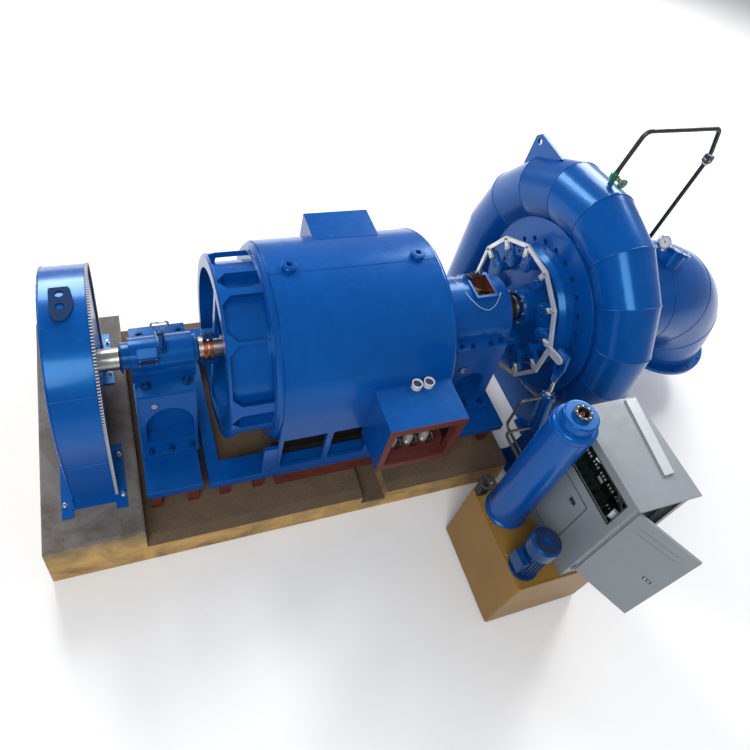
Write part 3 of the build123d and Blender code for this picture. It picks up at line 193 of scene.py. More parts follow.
def piece(name, bm, finish, body="stationary"):
    """Closes a bmesh as a named piece."""
    bmesh.ops.recalc_face_normals(bm, faces=bm.faces)
    mesh = bpy.data.meshes.new(name)
    bm.to_mesh(mesh)
    bm.free()
    finish_mesh(name, mesh, finish, body, 35)


def tubes(name, runs, finish, body="stationary", sides=4):
    """Round bars, pipes, wires and weld beads: runs of (points, radius, closed).
    Long runs follow their points, with the ripple of a weld if thin; short ones bend smoothly."""
    long_run, bead_r = 24, 0.008
    curve = bpy.data.curves.new(name, "CURVE")
    curve.dimensions = "3D"
    curve.bevel_depth = 1.0
    curve.bevel_resolution = sides
    curve.use_fill_caps = True
    curve.resolution_u = 8
    for points, radius, closed in runs:
        is_long = len(points) > long_run
        spline = curve.splines.new("POLY" if is_long else "NURBS")
        spline.points.add(len(points) - 1)
        for i, p in enumerate(points):
            ripple = 1.0 + (0.12 * sin(2.4 * i) if radius < bead_r and is_long else 0.0)
            spline.points[i].co = (*p, 1.0)
            spline.points[i].radius = radius * ripple
        spline.use_cyclic_u = closed
        if not is_long:
            spline.order_u = 3
            spline.use_endpoint_u = not closed
    maker = bpy.data.objects.new(name + "_run", curve)
    bpy.context.scene.collection.objects.link(maker)
    bpy.context.view_layer.update()
    mesh = bpy.data.meshes.new_from_object(maker.evaluated_get(bpy.context.evaluated_depsgraph_get()))
    bpy.data.objects.remove(maker)
    bpy.data.curves.remove(curve)
    mesh.name = name
    finish_mesh(name, mesh, finish, body, 60)


# Finishes

def linear(value):
    """sRGB hex to linear colour."""
    parts = [int(value[i:i + 2], 16) / 255 for i in (0, 2, 4)]
    return tuple(c / 12.92 if c <= 0.04045 else ((c + 0.055) / 1.055) ** 2.4 for c in parts) + (1.0,)


def add(tree, kind, ins=None, **settings):
    """Adds one node with its settings and links."""
    node = tree.nodes.new(kind)
    for key, value in settings.items():
        setattr(node, key, value)
    for key, value in (ins or {}).items():
        if isinstance(value, bpy.types.NodeSocket):
            tree.links.new(value, node.inputs[key])
        else:
            node.inputs[key].default_value = value
    return node


def start(name):
    """Empty material with its output, shader and object coordinates."""
    material = bpy.data.materials.new(name)
    material.use_nodes = True
    tree = material.node_tree
    tree.nodes.clear()
    shader = add(tree, "ShaderNodeBsdfPrincipled")
    add(tree, "ShaderNodeOutputMaterial", {"Surface": shader.outputs[0]})
    place = add(tree, "ShaderNodeTexCoord").outputs["Object"]
    return material, tree, shader, place


def noise(tree, place, scale, detail, rough=0.5, distortion=0.0):
    """Cloudy pattern of one scale."""
    return add(tree, "ShaderNodeTexNoise", {"Vector": place, "Scale": scale, "Detail": detail,
                                            "Roughness": rough, "Distortion": distortion}).outputs[0]


def stretched(tree, place, scale):
    """Coordinates drawn out along one axis."""
    return add(tree, "ShaderNodeMapping", {"Vector": place, "Scale": scale}).outputs[0]


def span(tree, value, low, high, from_value=0.0, to_value=1.0):
    """Carries a value from one range over to another."""
    return add(tree, "ShaderNodeMapRange",
               {0: value, 1: low, 2: high, 3: from_value, 4: to_value}).outputs[0]


def combine(tree, operation, *values):
    """One sum of numbers."""
    return add(tree, "ShaderNodeMath", dict(enumerate(values)), operation=operation).outputs[0]


def blend(tree, amount, first, second):
    """Mix of two colours, each a hex value or the result of an earlier mix."""
    ends = [linear(c) if isinstance(c, str) else c for c in (first, second)]
    return add(tree, "ShaderNodeMix", {0: amount, 6: ends[0], 7: ends[1]}, data_type="RGBA").outputs[2]


def height_of(tree, vector):
    """The Z part of a direction or place."""
    return add(tree, "ShaderNodeSeparateXYZ", {0: vector}).outputs["Z"]


def relief(tree, shader, height, edge_radius, distance, strength):
    """Softened edges with a fine relief over them."""
    edge = add(tree, "ShaderNodeBevel", {"Radius": edge_radius}, samples=4)
    bump = add(tree, "ShaderNodeBump", {"Height": height, "Normal": edge.outputs[0],
                                        "Distance": distance, "Strength": strength})
    tree.links.new(bump.outputs[0], shader.inputs["Normal"])


def paint(name, base, shade, dust_and_top_light, gloss=0.28, coat=0.6, peel=0.0006, dust_and_top_light_amount=0.3, chips=None,
          chip_rate=0.0, sheen="FFFFFF", level=0.5):
    """Sprayed or brushed machine paint on iron and plate: even colour with slow drift, a fine orange
    peel, softened edges, thin dust on what faces up that is also a painted highlight of the tops, and now and
    then a chip down to primer."""
    material, tree, shader, place = start(name)
    drift = span(tree, noise(tree, place, 2.2, 4.0, 0.6), 0.35, 0.68, 0.0, 0.55)
    colour = blend(tree, drift, base, shade)
    # runs of rinsed dust and painted highlight on upward faces: bands about 60 mm wide, drawn out in height
    streak = noise(tree, stretched(tree, place, (16.0, 16.0, 1.3)), 1.0, 5.0, 0.62)
    up = height_of(tree, add(tree, "ShaderNodeNewGeometry").outputs["Normal"])
    lying = span(tree, up, 0.15, 1.0, 0.12, 1.0)
    patch = span(tree, streak, 0.42, 0.78, 0.0, dust_and_top_light_amount)
    film = combine(tree, "MULTIPLY", lying, patch)
    colour = blend(tree, film, colour, dust_and_top_light)
    if chips:
        bare = span(tree, noise(tree, place, 34.0, 6.0, 0.7), 0.76 - chip_rate, 0.77 - chip_rate)
        colour = blend(tree, bare, colour, chips)
    tree.links.new(colour, shader.inputs["Base Color"])
    tree.links.new(span(tree, film, 0.0, 0.4, gloss, gloss + 0.3), shader.inputs["Roughness"])
    # orange peel: waves about 5 mm across over slower ones
    skin = noise(tree, place, 200.0, 2.0)
    slow = noise(tree, place, 7.0, 2.0)
    relief(tree, shader, combine(tree, "MULTIPLY_ADD", slow, 6.0, skin), 0.004, peel, 0.6)
    shader.inputs["Specular Tint"].default_value = linear(sheen)
    shader.inputs["Specular IOR Level"].default_value = level
    shader.inputs["Coat Weight"].default_value = coat
    shader.inputs["Coat Roughness"].default_value = 0.09
    shader.inputs["Coat IOR"].default_value = 1.5
    return material


def turned(name, base, shade, rough, groove, metallic=1.0, axis=0):
    """Metal turned on a lathe: fine rings along the shaft's length, with a thin film of oil."""
    material, tree, shader, place = start(name)
    stretch = [3.0, 3.0, 3.0]
    stretch[axis] = groove
    rings = noise(tree, stretched(tree, place, stretch), 1.0, 5.0, 0.75)
    stain = noise(tree, place, 9.0, 4.0)
    worn = span(tree, combine(tree, "MULTIPLY", rings, stain), 0.12, 0.42)
    tree.links.new(blend(tree, worn, shade, base), shader.inputs["Base Color"])
    tree.links.new(span(tree, stain, 0.0, 1.0, rough + 0.14, rough - 0.04), shader.inputs["Roughness"])
    relief(tree, shader, rings, 0.002, 0.0006, 0.7)
    shader.inputs["Metallic"].default_value = metallic
    return material


def cast_concrete():
    """Trowelled and board-cast concrete: grey-brown top with damp stains and grit, sandy cut faces, air
    holes;
    the tops are darkened as painted shade and the cut faces lightened to tan as painted light."""
    material, tree, shader, place = start("cast_concrete")
    blotch = noise(tree, place, 3.1, 7.0, 0.68, 0.6)
    sand = noise(tree, place, 190.0, 3.0, 0.8)
    grit = add(tree, "ShaderNodeTexVoronoi", {"Vector": place, "Scale": 120.0, "Randomness": 1.0})
    up = height_of(tree, add(tree, "ShaderNodeNewGeometry").outputs["Normal"])
    upper = span(tree, height_of(tree, place), 0.25, 0.45)
    # painted light and shade: faces looking up are darker as if shaded, side faces a lighter tan as if lit;
    # both also shift with height
    shaded_tops = blend(tree, upper, "5C4936", "6C6A6C")
    lit_walls = blend(tree, upper, "C29B58", "8C7A58")
    colour = blend(tree, span(tree, up, 0.3, 0.8), lit_walls, shaded_tops)
    colour = blend(tree, span(tree, blotch, 0.40, 0.66, 0.0, 0.75), colour, "42372C")
    colour = blend(tree, span(tree, sand, 0.45, 0.75, 0.0, 0.45), colour, "94866E")
    tree.links.new(colour, shader.inputs["Base Color"])
    shader.inputs["Roughness"].default_value = 0.92
    pits = span(tree, grit.outputs["Distance"], 0.0, 0.25)
    skin = combine(tree, "ADD", combine(tree, "MULTIPLY_ADD", blotch, 3.0, pits), sand)
    relief(tree, shader, skin, 0.010, 0.0035, 0.9)
    return material


# Enamels and paints
# the third colour, laid on upward faces, is dust and a painted highlight of the tops
blue = paint("gloss_blue_enamel", "044690", "04397A", "1C74B8", gloss=0.24, coat=0.1, peel=0.0003,
             dust_and_top_light_amount=0.07, sheen="50BCFF", level=0.55)
# its dark matt colour also stands for the painted shadow of the lug on the guard's crown
matt_blue_and_painted_shadow = paint("matt_dark_blue_paint_and_shadow", "06264E", "041C3C", "12406C", gloss=0.7, coat=0.0, level=0.15)
dark_blue = paint("dark_blue_enamel", "062F63", "05264F", "1E5688", gloss=0.3, coat=0.08,
                  sheen="48B4FF", level=0.4)
red_oxide = paint("red_oxide_primer", "5C1F14", "41160E", "64443A", gloss=0.62, coat=0.0, peel=0.0012,
                  chips="2E140E", chip_rate=0.06)
tan = paint("tan_tank_paint", "86642A", "745421", "8E7230", gloss=0.42, coat=0.05, level=0.25,
            dust_and_top_light_amount=0.15, chips="4C381C", chip_rate=0.03)
grey = paint("grey_powder_coat", "777F84", "6E767B", "868E93", gloss=0.42, coat=0.1, peel=0.0004,
             chips="5A5F61")
green = paint("green_valve_paint", "0A6A56", "06503F", "4A8A7C", gloss=0.3, coat=0.4,
              chips="223A30", chip_rate=0.05)
black_paint = paint("black_pipe_paint", "131316", "0C0C0E", "3A3836", gloss=0.4, coat=0.3,
                    chips="3A2E26", chip_rate=0.05)
black_iron = paint("black_cast_iron", "141110", "0D0B0B", "2E2A26", gloss=0.5, coat=0.1, peel=0.002,
                   chips="2A1E18", chip_rate=0.06)
wheel_paint = paint("painted_flywheel_iron", "0A3A70", "082C56", "365E80", gloss=0.4, coat=0.2,
                    peel=0.002)
varnish = paint("winding_varnish", "4A1810", "32100C", "5A4236", gloss=0.5, coat=0.2)
hatch_brown = paint("oiled_red_brown_coating", "5A2E1E", "3C1E14", "644432", gloss=0.25, coat=0.5)
stator_iron = paint("laminated_stator_iron", "2A2624", "1C1A19", "4A443E", gloss=0.55, coat=0.1)

# Plastics, glass and porcelain
pale_plastic = paint("grey_plastic_strip", "A9ADB0", "9EA3A6", "B4B8BA", gloss=0.4, coat=0.1)
white = paint("white_moulded_plastic", "CFD2DA", "C0C3CA", "B4B2AC", gloss=0.28, coat=0.3)
black = paint("black_moulded_plastic", "101113", "0B0C0E", "303134", gloss=0.38, coat=0.2)
blue_plastic = paint("dark_blue_plastic", "101F4E", "0B163A", "2C4068", gloss=0.35, coat=0.2)
circuit = paint("rack_panel_green", "12261F", "0C1A16", "2A3834", gloss=0.45, coat=0.1)
porcelain = paint("glazed_porcelain", "8C8E86", "787A72", "8A8478", gloss=0.12, coat=0.9, peel=0.0003)
oil_glass = paint("oil_filled_glass", "2A1A10", "1C110A", "4A3A2A", gloss=0.06, coat=0.8, peel=0.0001,
                  dust_and_top_light_amount=0.1)

# Bare metals and concrete
steel = turned("turned_steel", "D2D0CB", "9A9791", 0.26, 420.0)
milled = turned("milled_bright_steel", "E2E4E4", "C2C4C4", 0.3, 90.0, metallic=0.55)
bolt_steel = turned("zinc_plated_steel", "C6CACE", "9A9EA4", 0.34, 120.0)
copper = turned("turned_copper", "D98A5C", "A8532E", 0.24, 520.0)
brass = turned("machined_brass", "C9A45A", "94702F", 0.28, 300.0)
bronze = turned("oiled_bronze", "7A5A34", "4C3620", 0.34, 300.0)
chrome = turned("hard_chrome", "DADCDD", "BFC3C6", 0.10, 90.0, axis=2)
tube_steel = turned("drawn_steel_tube", "8D8A85", "5F5C58", 0.36, 60.0, axis=1)
concrete = cast_concrete()

slot_finish = {
    "concrete": concrete, "blue_enamel": blue, "red_oxide": red_oxide, "flywheel_iron": wheel_paint,
    "bright_steel": steel, "rotor_steel": varnish, "copper": copper, "porcelain": porcelain,
    "white_plastic": white, "chrome_rod": chrome, "green_paint": green, "black_pipe": black_paint,
    "gauge_white": white, "tan_paint": tan, "black_iron": black_iron, "grey_paint": grey,
    "oil_line_steel": tube_steel, "electronics": circuit}
node_finish = {"pump_motor": dark_blue, "link_ring": milled}
for part in frame["record"]["subparts"]:
    node = frame["nodes"][part["node"]]
    finish = node_finish.get(part["node"], slot_finish[part["material_slot"]])
    if not node.material_slots:
        node.data.materials.append(finish)
    for slot in node.material_slots:
        slot.material = finish


# Flywheel guard: crown plate with two holes, dark and matt as it also stands for a lug's painted shadow, foot
# bolts and the seams of the wrap
bm = bmesh.new()
crown = facing(-1.796, -0.05, SHAFT_Z + GUARD_R - 0.001, turn=180)
shield = [(-0.050, 0.125), (0.050, 0.125), (0.062, 0.105), (0.078, 0.0), (0.060, -0.075), (0.028, -0.125),
          (0.0, -0.135), (-0.028, -0.125), (-0.052, -0.075), (-0.056, 0.105)]
plate(bm, shield, 0.008, crown, holes=((0.002, 0.071, 0.024), (0.002, -0.023, 0.024)))
piece("guard_crown_plate_and_painted_shadow", bm, matt_blue_and_painted_shadow)

bm = bmesh.new()
for x in (GUARD_X0 - 0.048, GUARD_X1 + 0.048):
    for y in (-0.65, -0.35, 0.35, 0.65):
        hex_bolt(bm, facing(x, y, FRAME_TOP + 0.010, turn=17), 0.016, stud=0.02)
piece("guard_foot_bolts", bm, bolt_steel)

arch = [Vector((0, GUARD_R * cos(radians(a)), SHAFT_Z + GUARD_R * sin(radians(a)))) for a in range(0, 181, 2)]
legs = [Vector((0, GUARD_R, FRAME_TOP + 0.03 * k)) for k in range(21)]
rim = legs + arch + [Vector((0, -v.y, v.z)) for v in reversed(legs)]
seam_angle = radians(145.5)
seam_y, seam_z = GUARD_R * cos(seam_angle), SHAFT_Z + GUARD_R * sin(seam_angle)
low_seam = SHAFT_Z - 0.20
across_wrap = [GUARD_X0 + 0.01 * k for k in range(27)]
tubes("guard_seams", [([v + Vector((GUARD_X0 + 0.003, 0, 0)) for v in rim], 0.006, False),
                      ([v + Vector((GUARD_X1 - 0.002, 0, 0)) for v in rim], 0.003, False),
                      ([Vector((x, seam_y - 0.0005, seam_z)) for x in across_wrap], 0.004, False),
                      ([Vector((x, -GUARD_R, low_seam)) for x in across_wrap], 0.0035, False)],
      blue)

# rubber edging with steel clips round the open rim
inset = 0.992
path = [v + Vector((GUARD_X1 + 0.007, 0, 0)) for v in rim]
edging = [Vector((v.x, v.y * inset, SHAFT_Z + (v.z - SHAFT_Z) * (inset if v.z > SHAFT_Z else 1.0)))
          for v in path]
tubes("guard_edging", [(edging, 0.008, False)], black)
bm = bmesh.new()
clips = 170
arch_length = pi * EDGING_R
for k in range(clips):
    t = 0.012 + k * (2 * GUARD_LEG + arch_length) / clips
    if t < GUARD_LEG:
        y, z, lean = EDGING_R, FRAME_TOP + t, 0.0
    elif t < GUARD_LEG + arch_length:
        lean = (t - GUARD_LEG) / EDGING_R
        y, z = EDGING_R * cos(lean), SHAFT_Z + EDGING_R * sin(lean)
    else:
        y, z, lean = -EDGING_R, FRAME_TOP + (2 * GUARD_LEG + arch_length - t), pi
    block(bm, (0.018, 0.019, 0.008), move(GUARD_X1 + 0.009, y, z) @ Matrix.Rotation(lean, 4, "X"), 0.001)
piece("guard_edging_clips", bm, pale_plastic)


# Bearings: cap, foot and housing bolts of both
bm = bmesh.new()
for y in (-0.215, 0.215):
    for x in (-1.380, -1.121):
        drum(bm, 0.034, 0.007, facing(x, y, 1.040), 28)
        hex_bolt(bm, facing(x, y, 1.046, turn=11), 0.022, stud=0.016)
for y in (-0.397, 0.397):
    for x in (-1.391, -1.254, -1.115):
        hex_bolt(bm, facing(x, y, FRAME_TOP + 0.0365, turn=8), 0.021, stud=0.018)
for x, y in ((0.961, -0.350), (1.114, -0.352), (0.870, -0.340), (1.205, -0.340), (0.961, 0.350),
             (1.114, 0.350)):
    hex_bolt(bm, facing(x, y, SHAFT_Z + 0.034, turn=21), 0.020, stud=0.020)
for y in (-0.472, 0.472):
    for x in (0.88, 1.04, 1.19):
        hex_bolt(bm, facing(x, y, FRAME_TOP + 0.040, turn=5), 0.028, stud=0.022)
for k in range(12):
    hex_bolt(bm, round_shaft(DE_X1, 0.262, 15 + 30 * k, out=ALONG_X), 0.016)
    hex_bolt(bm, round_shaft(DE_X0, 0.262, 15 + 30 * k), 0.016)
piece("bearing_bolts", bm, dark_blue)

# oil seal rings at the four ends of the two bearings: place, outer and inner radius
bm = bmesh.new()
for x, r, inner, out in ((NDE_X0 - 0.066, 0.100, 0.0765, -1), (NDE_X1 + 0.044, 0.100, 0.0765, 1),
                         (DE_X0, 0.168, 0.1015, -1), (DE_X1 + 0.014, 0.165, 0.1015, 1)):
    lathe(bm, [(inner, 0), (r - 0.012, 0), (r - 0.012, 0.008), (r - 0.020, 0.012), (inner, 0.012)],
          facing(x, 0, SHAFT_Z, (out, 0, 0)), closed=True, steps=40)
piece("bearing_seal_rings", bm, black)

# rounded end collars of the non-drive bearing, with a split line along the housing
collars = [(ring_points(facing(x, 0, SHAFT_Z, ALONG_X), 0.100, 120), 0.005, True)
           for x in (NDE_X0 - 0.064, NDE_X1 + 0.042)]
collars.append(([Vector((NDE_X0 - 0.012 + 0.016 * k, -0.1565, SHAFT_Z)) for k in range(26)], 0.0022, False))
tubes("nde_collar_beads", collars, blue, sides=3)

# oil window in its frame on the cap's front boss
window = facing(-1.351, -0.134, 1.195, TO_FRONT)
window_half_w, window_half_h = 0.051, 0.027
bm = bmesh.new()
for z in (window_half_h, -window_half_h):
    block(bm, (0.112, 0.010, 0.008), window @ move(0, z, 0.003), 0.0015)
for x in (window_half_w, -window_half_w):
    block(bm, (0.010, 0.064, 0.008), window @ move(x, 0, 0.003), 0.0015)
piece("oil_window_frame", bm, blue)
bm = bmesh.new()
block(bm, (0.092, 0.044, 0.003), window @ move(0, 0, 0.0016))
piece("oil_window_glass", bm, oil_glass)
bm = bmesh.new()
for x in (-window_half_w, window_half_w):
    for z in (-window_half_h, window_half_h):
        drum(bm, 0.0042, 0.003, window @ move(x, z, 0.006), 12)
piece("oil_window_screws", bm, bolt_steel)

# heart-shaped lifting loop on the bracket over the cap
loop = [(-0.010, 1.300), (-0.016, 1.330), (-0.046, 1.372), (-0.056, 1.402), (-0.036, 1.420), (0.0, 1.408),
        (0.036, 1.420), (0.056, 1.402), (0.046, 1.372), (0.016, 1.330), (0.010, 1.300)]
tubes("cap_lifting_loop", [([Vector((NDE_MID + x, 0, z)) for x, z in loop], 0.0065, False)],
      bolt_steel)
bm = bmesh.new()
block(bm, (0.044, 0.030, 0.016), facing(NDE_MID, 0, 1.303), 0.004)
block(bm, (0.060, 0.190, 0.014), facing(NDE_MID, 0, 1.215), 0.003)
block(bm, (0.010, 0.150, 0.075), facing(-1.2385, 0, 1.240), 0.002)
piece("cap_loop_base", bm, dark_blue)

# drain plug in the pedestal's sloping front and the level glass on the drive end housing
bm = bmesh.new()
slope = (0, -0.985, 0.158)
level_place = facing(0.930, -0.400, 0.900, TO_FRONT)
drum(bm, 0.020, 0.006, facing(-1.346, -0.3045, 0.931, slope), 24)
hex_bolt(bm, facing(-1.346, -0.3095, 0.932, slope), 0.012)
lathe(bm, [(0.019, 0.0), (0.031, 0.0), (0.031, 0.010), (0.026, 0.014), (0.019, 0.012)], level_place,
      closed=True)
piece("plug_and_level_ring", bm, bolt_steel)
bm = bmesh.new()
drum(bm, 0.0195, 0.004, level_place, 24)
piece("level_glass", bm, oil_glass)

# open inspection hatch: brown oil-wet lining, oil ring and scraper inside, stops and a wire loop over it
bm = bmesh.new()
block(bm, (0.148, 0.198, 0.003), facing(HATCH_X, HATCH_Y, 1.2885))
for x in (-0.0740, 0.0740):
    block(bm, (0.0016, 0.198, 0.112), facing(HATCH_X + x, HATCH_Y, 1.3465))
for y in (-0.0990, 0.0990):
    block(bm, (0.148, 0.0016, 0.112), facing(HATCH_X, HATCH_Y + y, 1.3465))
piece("hatch_lining", bm, hatch_brown)
bm = bmesh.new()
lathe(bm, [(0.034, -0.008), (0.045, -0.008), (0.045, 0.008), (0.034, 0.008)],
      facing(1.085, 0.02, 1.318, (0.9, 0.2, 0.25)), closed=True)
block(bm, (0.012, 0.15, 0.030), facing(1.135, 0.0, 1.335, (0.3, 0, 1)), 0.002)
piece("oil_ring_and_scraper", bm, brass)
bm = bmesh.new()
for x, y in ((0.028, 0.112), (0.0, 0.118), (-0.030, 0.114), (0.070, 0.118)):
    hex_bolt(bm, facing(1.085 + x, HATCH_Y + y, 1.405, turn=4000 * x), 0.011, stud=0.022)
block(bm, (0.120, 0.020, 0.008), facing(1.075, 0.124, 1.409, (0, 0.2, 1)), 0.002)
block(bm, (0.030, 0.050, 0.018), facing(1.040, 0.096, 1.414, (0.2, -0.2, 1)), 0.003)
piece("hatch_hinge_and_studs", bm, black_iron)
wire = [(0.925, 0.105, 1.376), (0.938, 0.050, 1.389), (0.954, -0.058, 1.388), (0.989, -0.118, 1.37),
        (1.028, -0.159, 1.348), (1.076, -0.179, 1.334), (1.11, -0.183, 1.331), (1.148, -0.168, 1.342),
        (1.185, -0.142, 1.358), (1.241, -0.071, 1.385)]
tubes("seal_wire", [([Vector(p) for p in wire], 0.0022, False)], white)


# Generator: seams of the barrel, bolts of the end shield and collars of the lifting bosses
top_seam_y = -0.038
top_seam_z = SHAFT_Z + sqrt(SHELL_R ** 2 - top_seam_y ** 2) - 0.001
end_seam = [Vector((SHELL_X1, SHELL_R * cos(radians(a)), SHAFT_Z + SHELL_R * sin(radians(a))))
            for a in range(181)]
tubes("barrel_weld_seams",
      [([Vector((SHELL_X0 + 0.01 * k, top_seam_y, top_seam_z)) for k in range(117)], 0.0035, False),
       (end_seam, 0.003, False),
       ([Vector((SHELL_X0, -SHELL_R, 0.49 + 0.01 * k)) for k in range(61)], 0.004, False)],
      blue)

bm = bmesh.new()
for k in range(24):
    hex_bolt(bm, round_shaft(0.615, 0.62, 7.5 + 15 * k, out=ALONG_X), 0.018)
for x in LIFTING_BOSS_XS:
    lathe(bm, [(0.0205, 0.0), (0.040, 0.0), (0.040, 0.004), (0.0205, 0.004)], facing(x, 0, 1.8305),
          closed=True)
piece("end_shield_bolts", bm, blue)

# black sheet over the barrel's underside as painted shade, seen through the windows, and the wound stator
# core inside it
bm = bmesh.new()
belly(bm, 0.7008, 0.002, -0.585, 0.570, 200, 340)
piece("barrel_underside_painted_shade", bm, black_iron)
core_half, core_bore, core_r = 0.400, 0.500, 0.655
bm = bmesh.new()
lathe(bm, [(core_bore, -core_half), (core_r, -core_half), (core_r, core_half), (core_bore, core_half)],
      facing(0, 0, SHAFT_Z, ALONG_X), closed=True, steps=64)
piece("stator_core", bm, stator_iron)
coils = []
for k in range(36):
    for side in (-1, 1):
        pts = []
        for t in range(27):
            u = t / 26
            turn = radians(10 * k) + radians(22) * u
            reach = core_half + 0.10 * sin(pi * u)
            r = 0.540 + 0.05 * u
            pts.append(Vector((side * reach, r * cos(turn), SHAFT_Z + r * sin(turn))))
        coils.append((pts, 0.011, False))
tubes("stator_coil_heads", coils, varnish, sides=2)

# black tray and walls inside the windows as painted shade
bm = bmesh.new()
for y in (-0.600, 0.600):
    block(bm, (1.140, 0.136, 0.002), facing(-0.008, y, 0.4612))
for y in (-0.5285, 0.5285):
    block(bm, (1.140, 0.002, 0.110), facing(-0.008, y, 0.5160))
piece("window_painted_shade_tray", bm, black_iron)

# terminal box: black sheets over its inside as painted shade, copper bars with their clamps, insulated tails
# and the sealed sleeves
bm = bmesh.new()
belly(bm, 0.7012, 0.002, 0.014, 0.557, 166.5, 205)
for x in (0.0142, 0.5568):
    block(bm, (0.0016, 0.285, 0.470), facing(x, -0.860, 1.035))
piece("terminal_box_painted_shade_lining", bm, black_iron)
bm = bmesh.new()
for x in TERMINAL_XS:
    block(bm, (0.036, 0.150, 0.007), facing(x, -0.800, 1.0065), 0.0015)
    block(bm, (0.036, 0.007, 0.110), facing(x, -0.728, 1.055), 0.0015)
    block(bm, (0.030, 0.040, 0.005), facing(x, -0.880, 1.012), 0.001)
piece("terminal_bars", bm, copper)
bm = bmesh.new()
for x in TERMINAL_XS:
    hex_bolt(bm, facing(x, -0.860, 1.013, turn=13), 0.014, stud=0.016)
    hex_bolt(bm, facing(x, -0.790, 1.010, turn=33), 0.011, stud=0.010)
piece("terminal_nuts", bm, bolt_steel)
tail_down = ((0, -0.885, 1.016), (0, -0.925, 1.018), (0.01, -0.945, 0.985), (0.02, -0.930, 0.920),
             (0.02, -0.905, 0.856))
tail_up = ((0, -0.728, 1.105), (0.01, -0.735, 1.160), (0.06, -0.760, 1.190), (0.04, -0.720, 1.225),
           (0.02, -0.700, 1.235))
tails = [([Vector((x + dx, y, z)) for dx, y, z in run], radius, False)
         for x in TERMINAL_XS for run, radius in ((tail_down, 0.013), (tail_up, 0.010))]
tubes("terminal_tails", tails, black, sides=3)
bm = bmesh.new()
for x in SLEEVE_XS:
    drum(bm, 0.0285, 0.030, facing(x, SLEEVE_Y, 1.2865), 28)
piece("sleeve_plugs", bm, blue_plastic)
bm = bmesh.new()
for x in SLEEVE_XS:
    lathe(bm, [(0.0295, 0), (0.0375, 0), (0.0375, 0.005), (0.0295, 0.005)],
          facing(x, SLEEVE_Y, 1.3245), closed=True)
piece("sleeve_rims", bm, white)

# brush holders with springs over the slip rings
bm = bmesh.new()
for x in SLIP_RING_XS:
    block(bm, (0.020, 0.020, 0.022), facing(x, 0, SHAFT_Z + 0.1055), 0.001)
    block(bm, (0.014, 0.050, 0.004), facing(x, -0.030, SHAFT_Z + 0.176, (0, -0.25, 1)), 0.001)
piece("brush_holders", bm, black)


# Turbine: weld seams between the case's segments, whose tube and mean circle shrink round the turn
seams = []
for k in range(1, 15):
    phi = radians(180 - 22.5 * k)
    tube_r = 0.189 + 0.118 * (1 - k / 8)
    centre_r = 0.813 + 0.149 * (1 - k / 8)
    out = Vector((0, -cos(phi), sin(phi)))
    centre = Vector((SCROLL_X, 0, SHAFT_Z)) + out * centre_r
    loop = [centre + (Vector(ALONG_X) * cos(a) + out * sin(a)) * (tube_r - 0.001)
            for a in [2 * pi * j / 120 for j in range(120)]]
    seams.append((loop, 0.005, True))
for x in (CASE_X0 + 0.002, CASE_X1 - 0.002):
    seams.append((ring_points(facing(x, 0, SHAFT_Z, ALONG_X), 0.715, 180), 0.005, True))
tubes("case_weld_seams", seams, blue, sides=3)

# pins and nuts of the link ring, hubs and clamp slits of its twelve levers
bm = bmesh.new()
for k in range(12):
    drum(bm, 0.019, 0.006, round_shaft(LINK_FACE_X, LINK_PIN_R, 15 + 30 * k), 24, top=0.016)
    hex_bolt(bm, round_shaft(LINK_FACE_X, 0.555, 15 + 30 * k, turn=9), 0.013, stud=0.006)
piece("link_ring_pins", bm, bolt_steel, body="gate_ring")
for k in range(12):
    middle = 15 + 30 * k
    a = radians(middle)
    lever, vane = "%02d" % (k + 1), "vane_%02d" % (k + 1)
    bm = bmesh.new()
    lathe(bm, [(0.0215, 0), (0.036, 0), (0.036, 0.004), (0.033, 0.007), (0.0215, 0.007)],
          round_shaft(LEVER_FACE_X, STEM_R, middle), closed=True)
    for rise in (-0.034, 0.034):
        spot = round_shaft(LEVER_FACE_X, 0.432, middle) @ move(0, 0, 0.002)
        across = Vector((0, -sin(a), cos(a))) * rise
        block(bm, (0.052, 0.010, 0.005), Matrix.Translation(across) @ spot @ lever_turn(spot, a), 0.0015)
    piece("lever_hub_" + lever, bm, blue, body=vane)
    bm = bmesh.new()
    spot = round_shaft(LEVER_FACE_X, 0.425, middle)
    block(bm, (0.046, 0.007, 0.0012), spot @ lever_turn(spot, a))
    drum(bm, 0.008, 0.0012, round_shaft(1.5018, STEM_R, middle), 16)
    piece("lever_slit_" + lever, bm, black, body=vane)

# black discs at the bottoms of the stay ring's bolt holes as painted shade, shaft gland, water thrower and
# cover bolts
bm = bmesh.new()
for k in range(24):
    drum(bm, 0.0225, 0.003, round_shaft(CASE_X0 + 0.0585, 0.544, 7.5 + 15 * k), 20)
piece("bolt_hole_painted_shade", bm, black)
bm = bmesh.new()
for k in range(8):
    hex_bolt(bm, round_shaft(1.517, 0.136, 22.5 + 45 * k), 0.010, stud=0.014)
piece("gland_nuts", bm, bolt_steel)
bm = bmesh.new()
lathe(bm, [(0.1003, -0.018), (0.128, -0.018), (0.138, -0.010), (0.138, 0.010), (0.128, 0.018),
           (0.1003, 0.018)], facing(THROWER_X, 0, SHAFT_Z, TO_FLYWHEEL), closed=True, steps=48)
piece("water_thrower", bm, bronze, body="rotor")
bm = bmesh.new()
for k in range(24):
    hex_bolt(bm, round_shaft(1.600, 0.452, 15 * k), 0.013)
for k in range(24):
    hex_bolt(bm, round_shaft(2.150, 0.515, 7.5 + 15 * k, out=ALONG_X), 0.022)
piece("turbine_cover_bolts", bm, dark_blue)

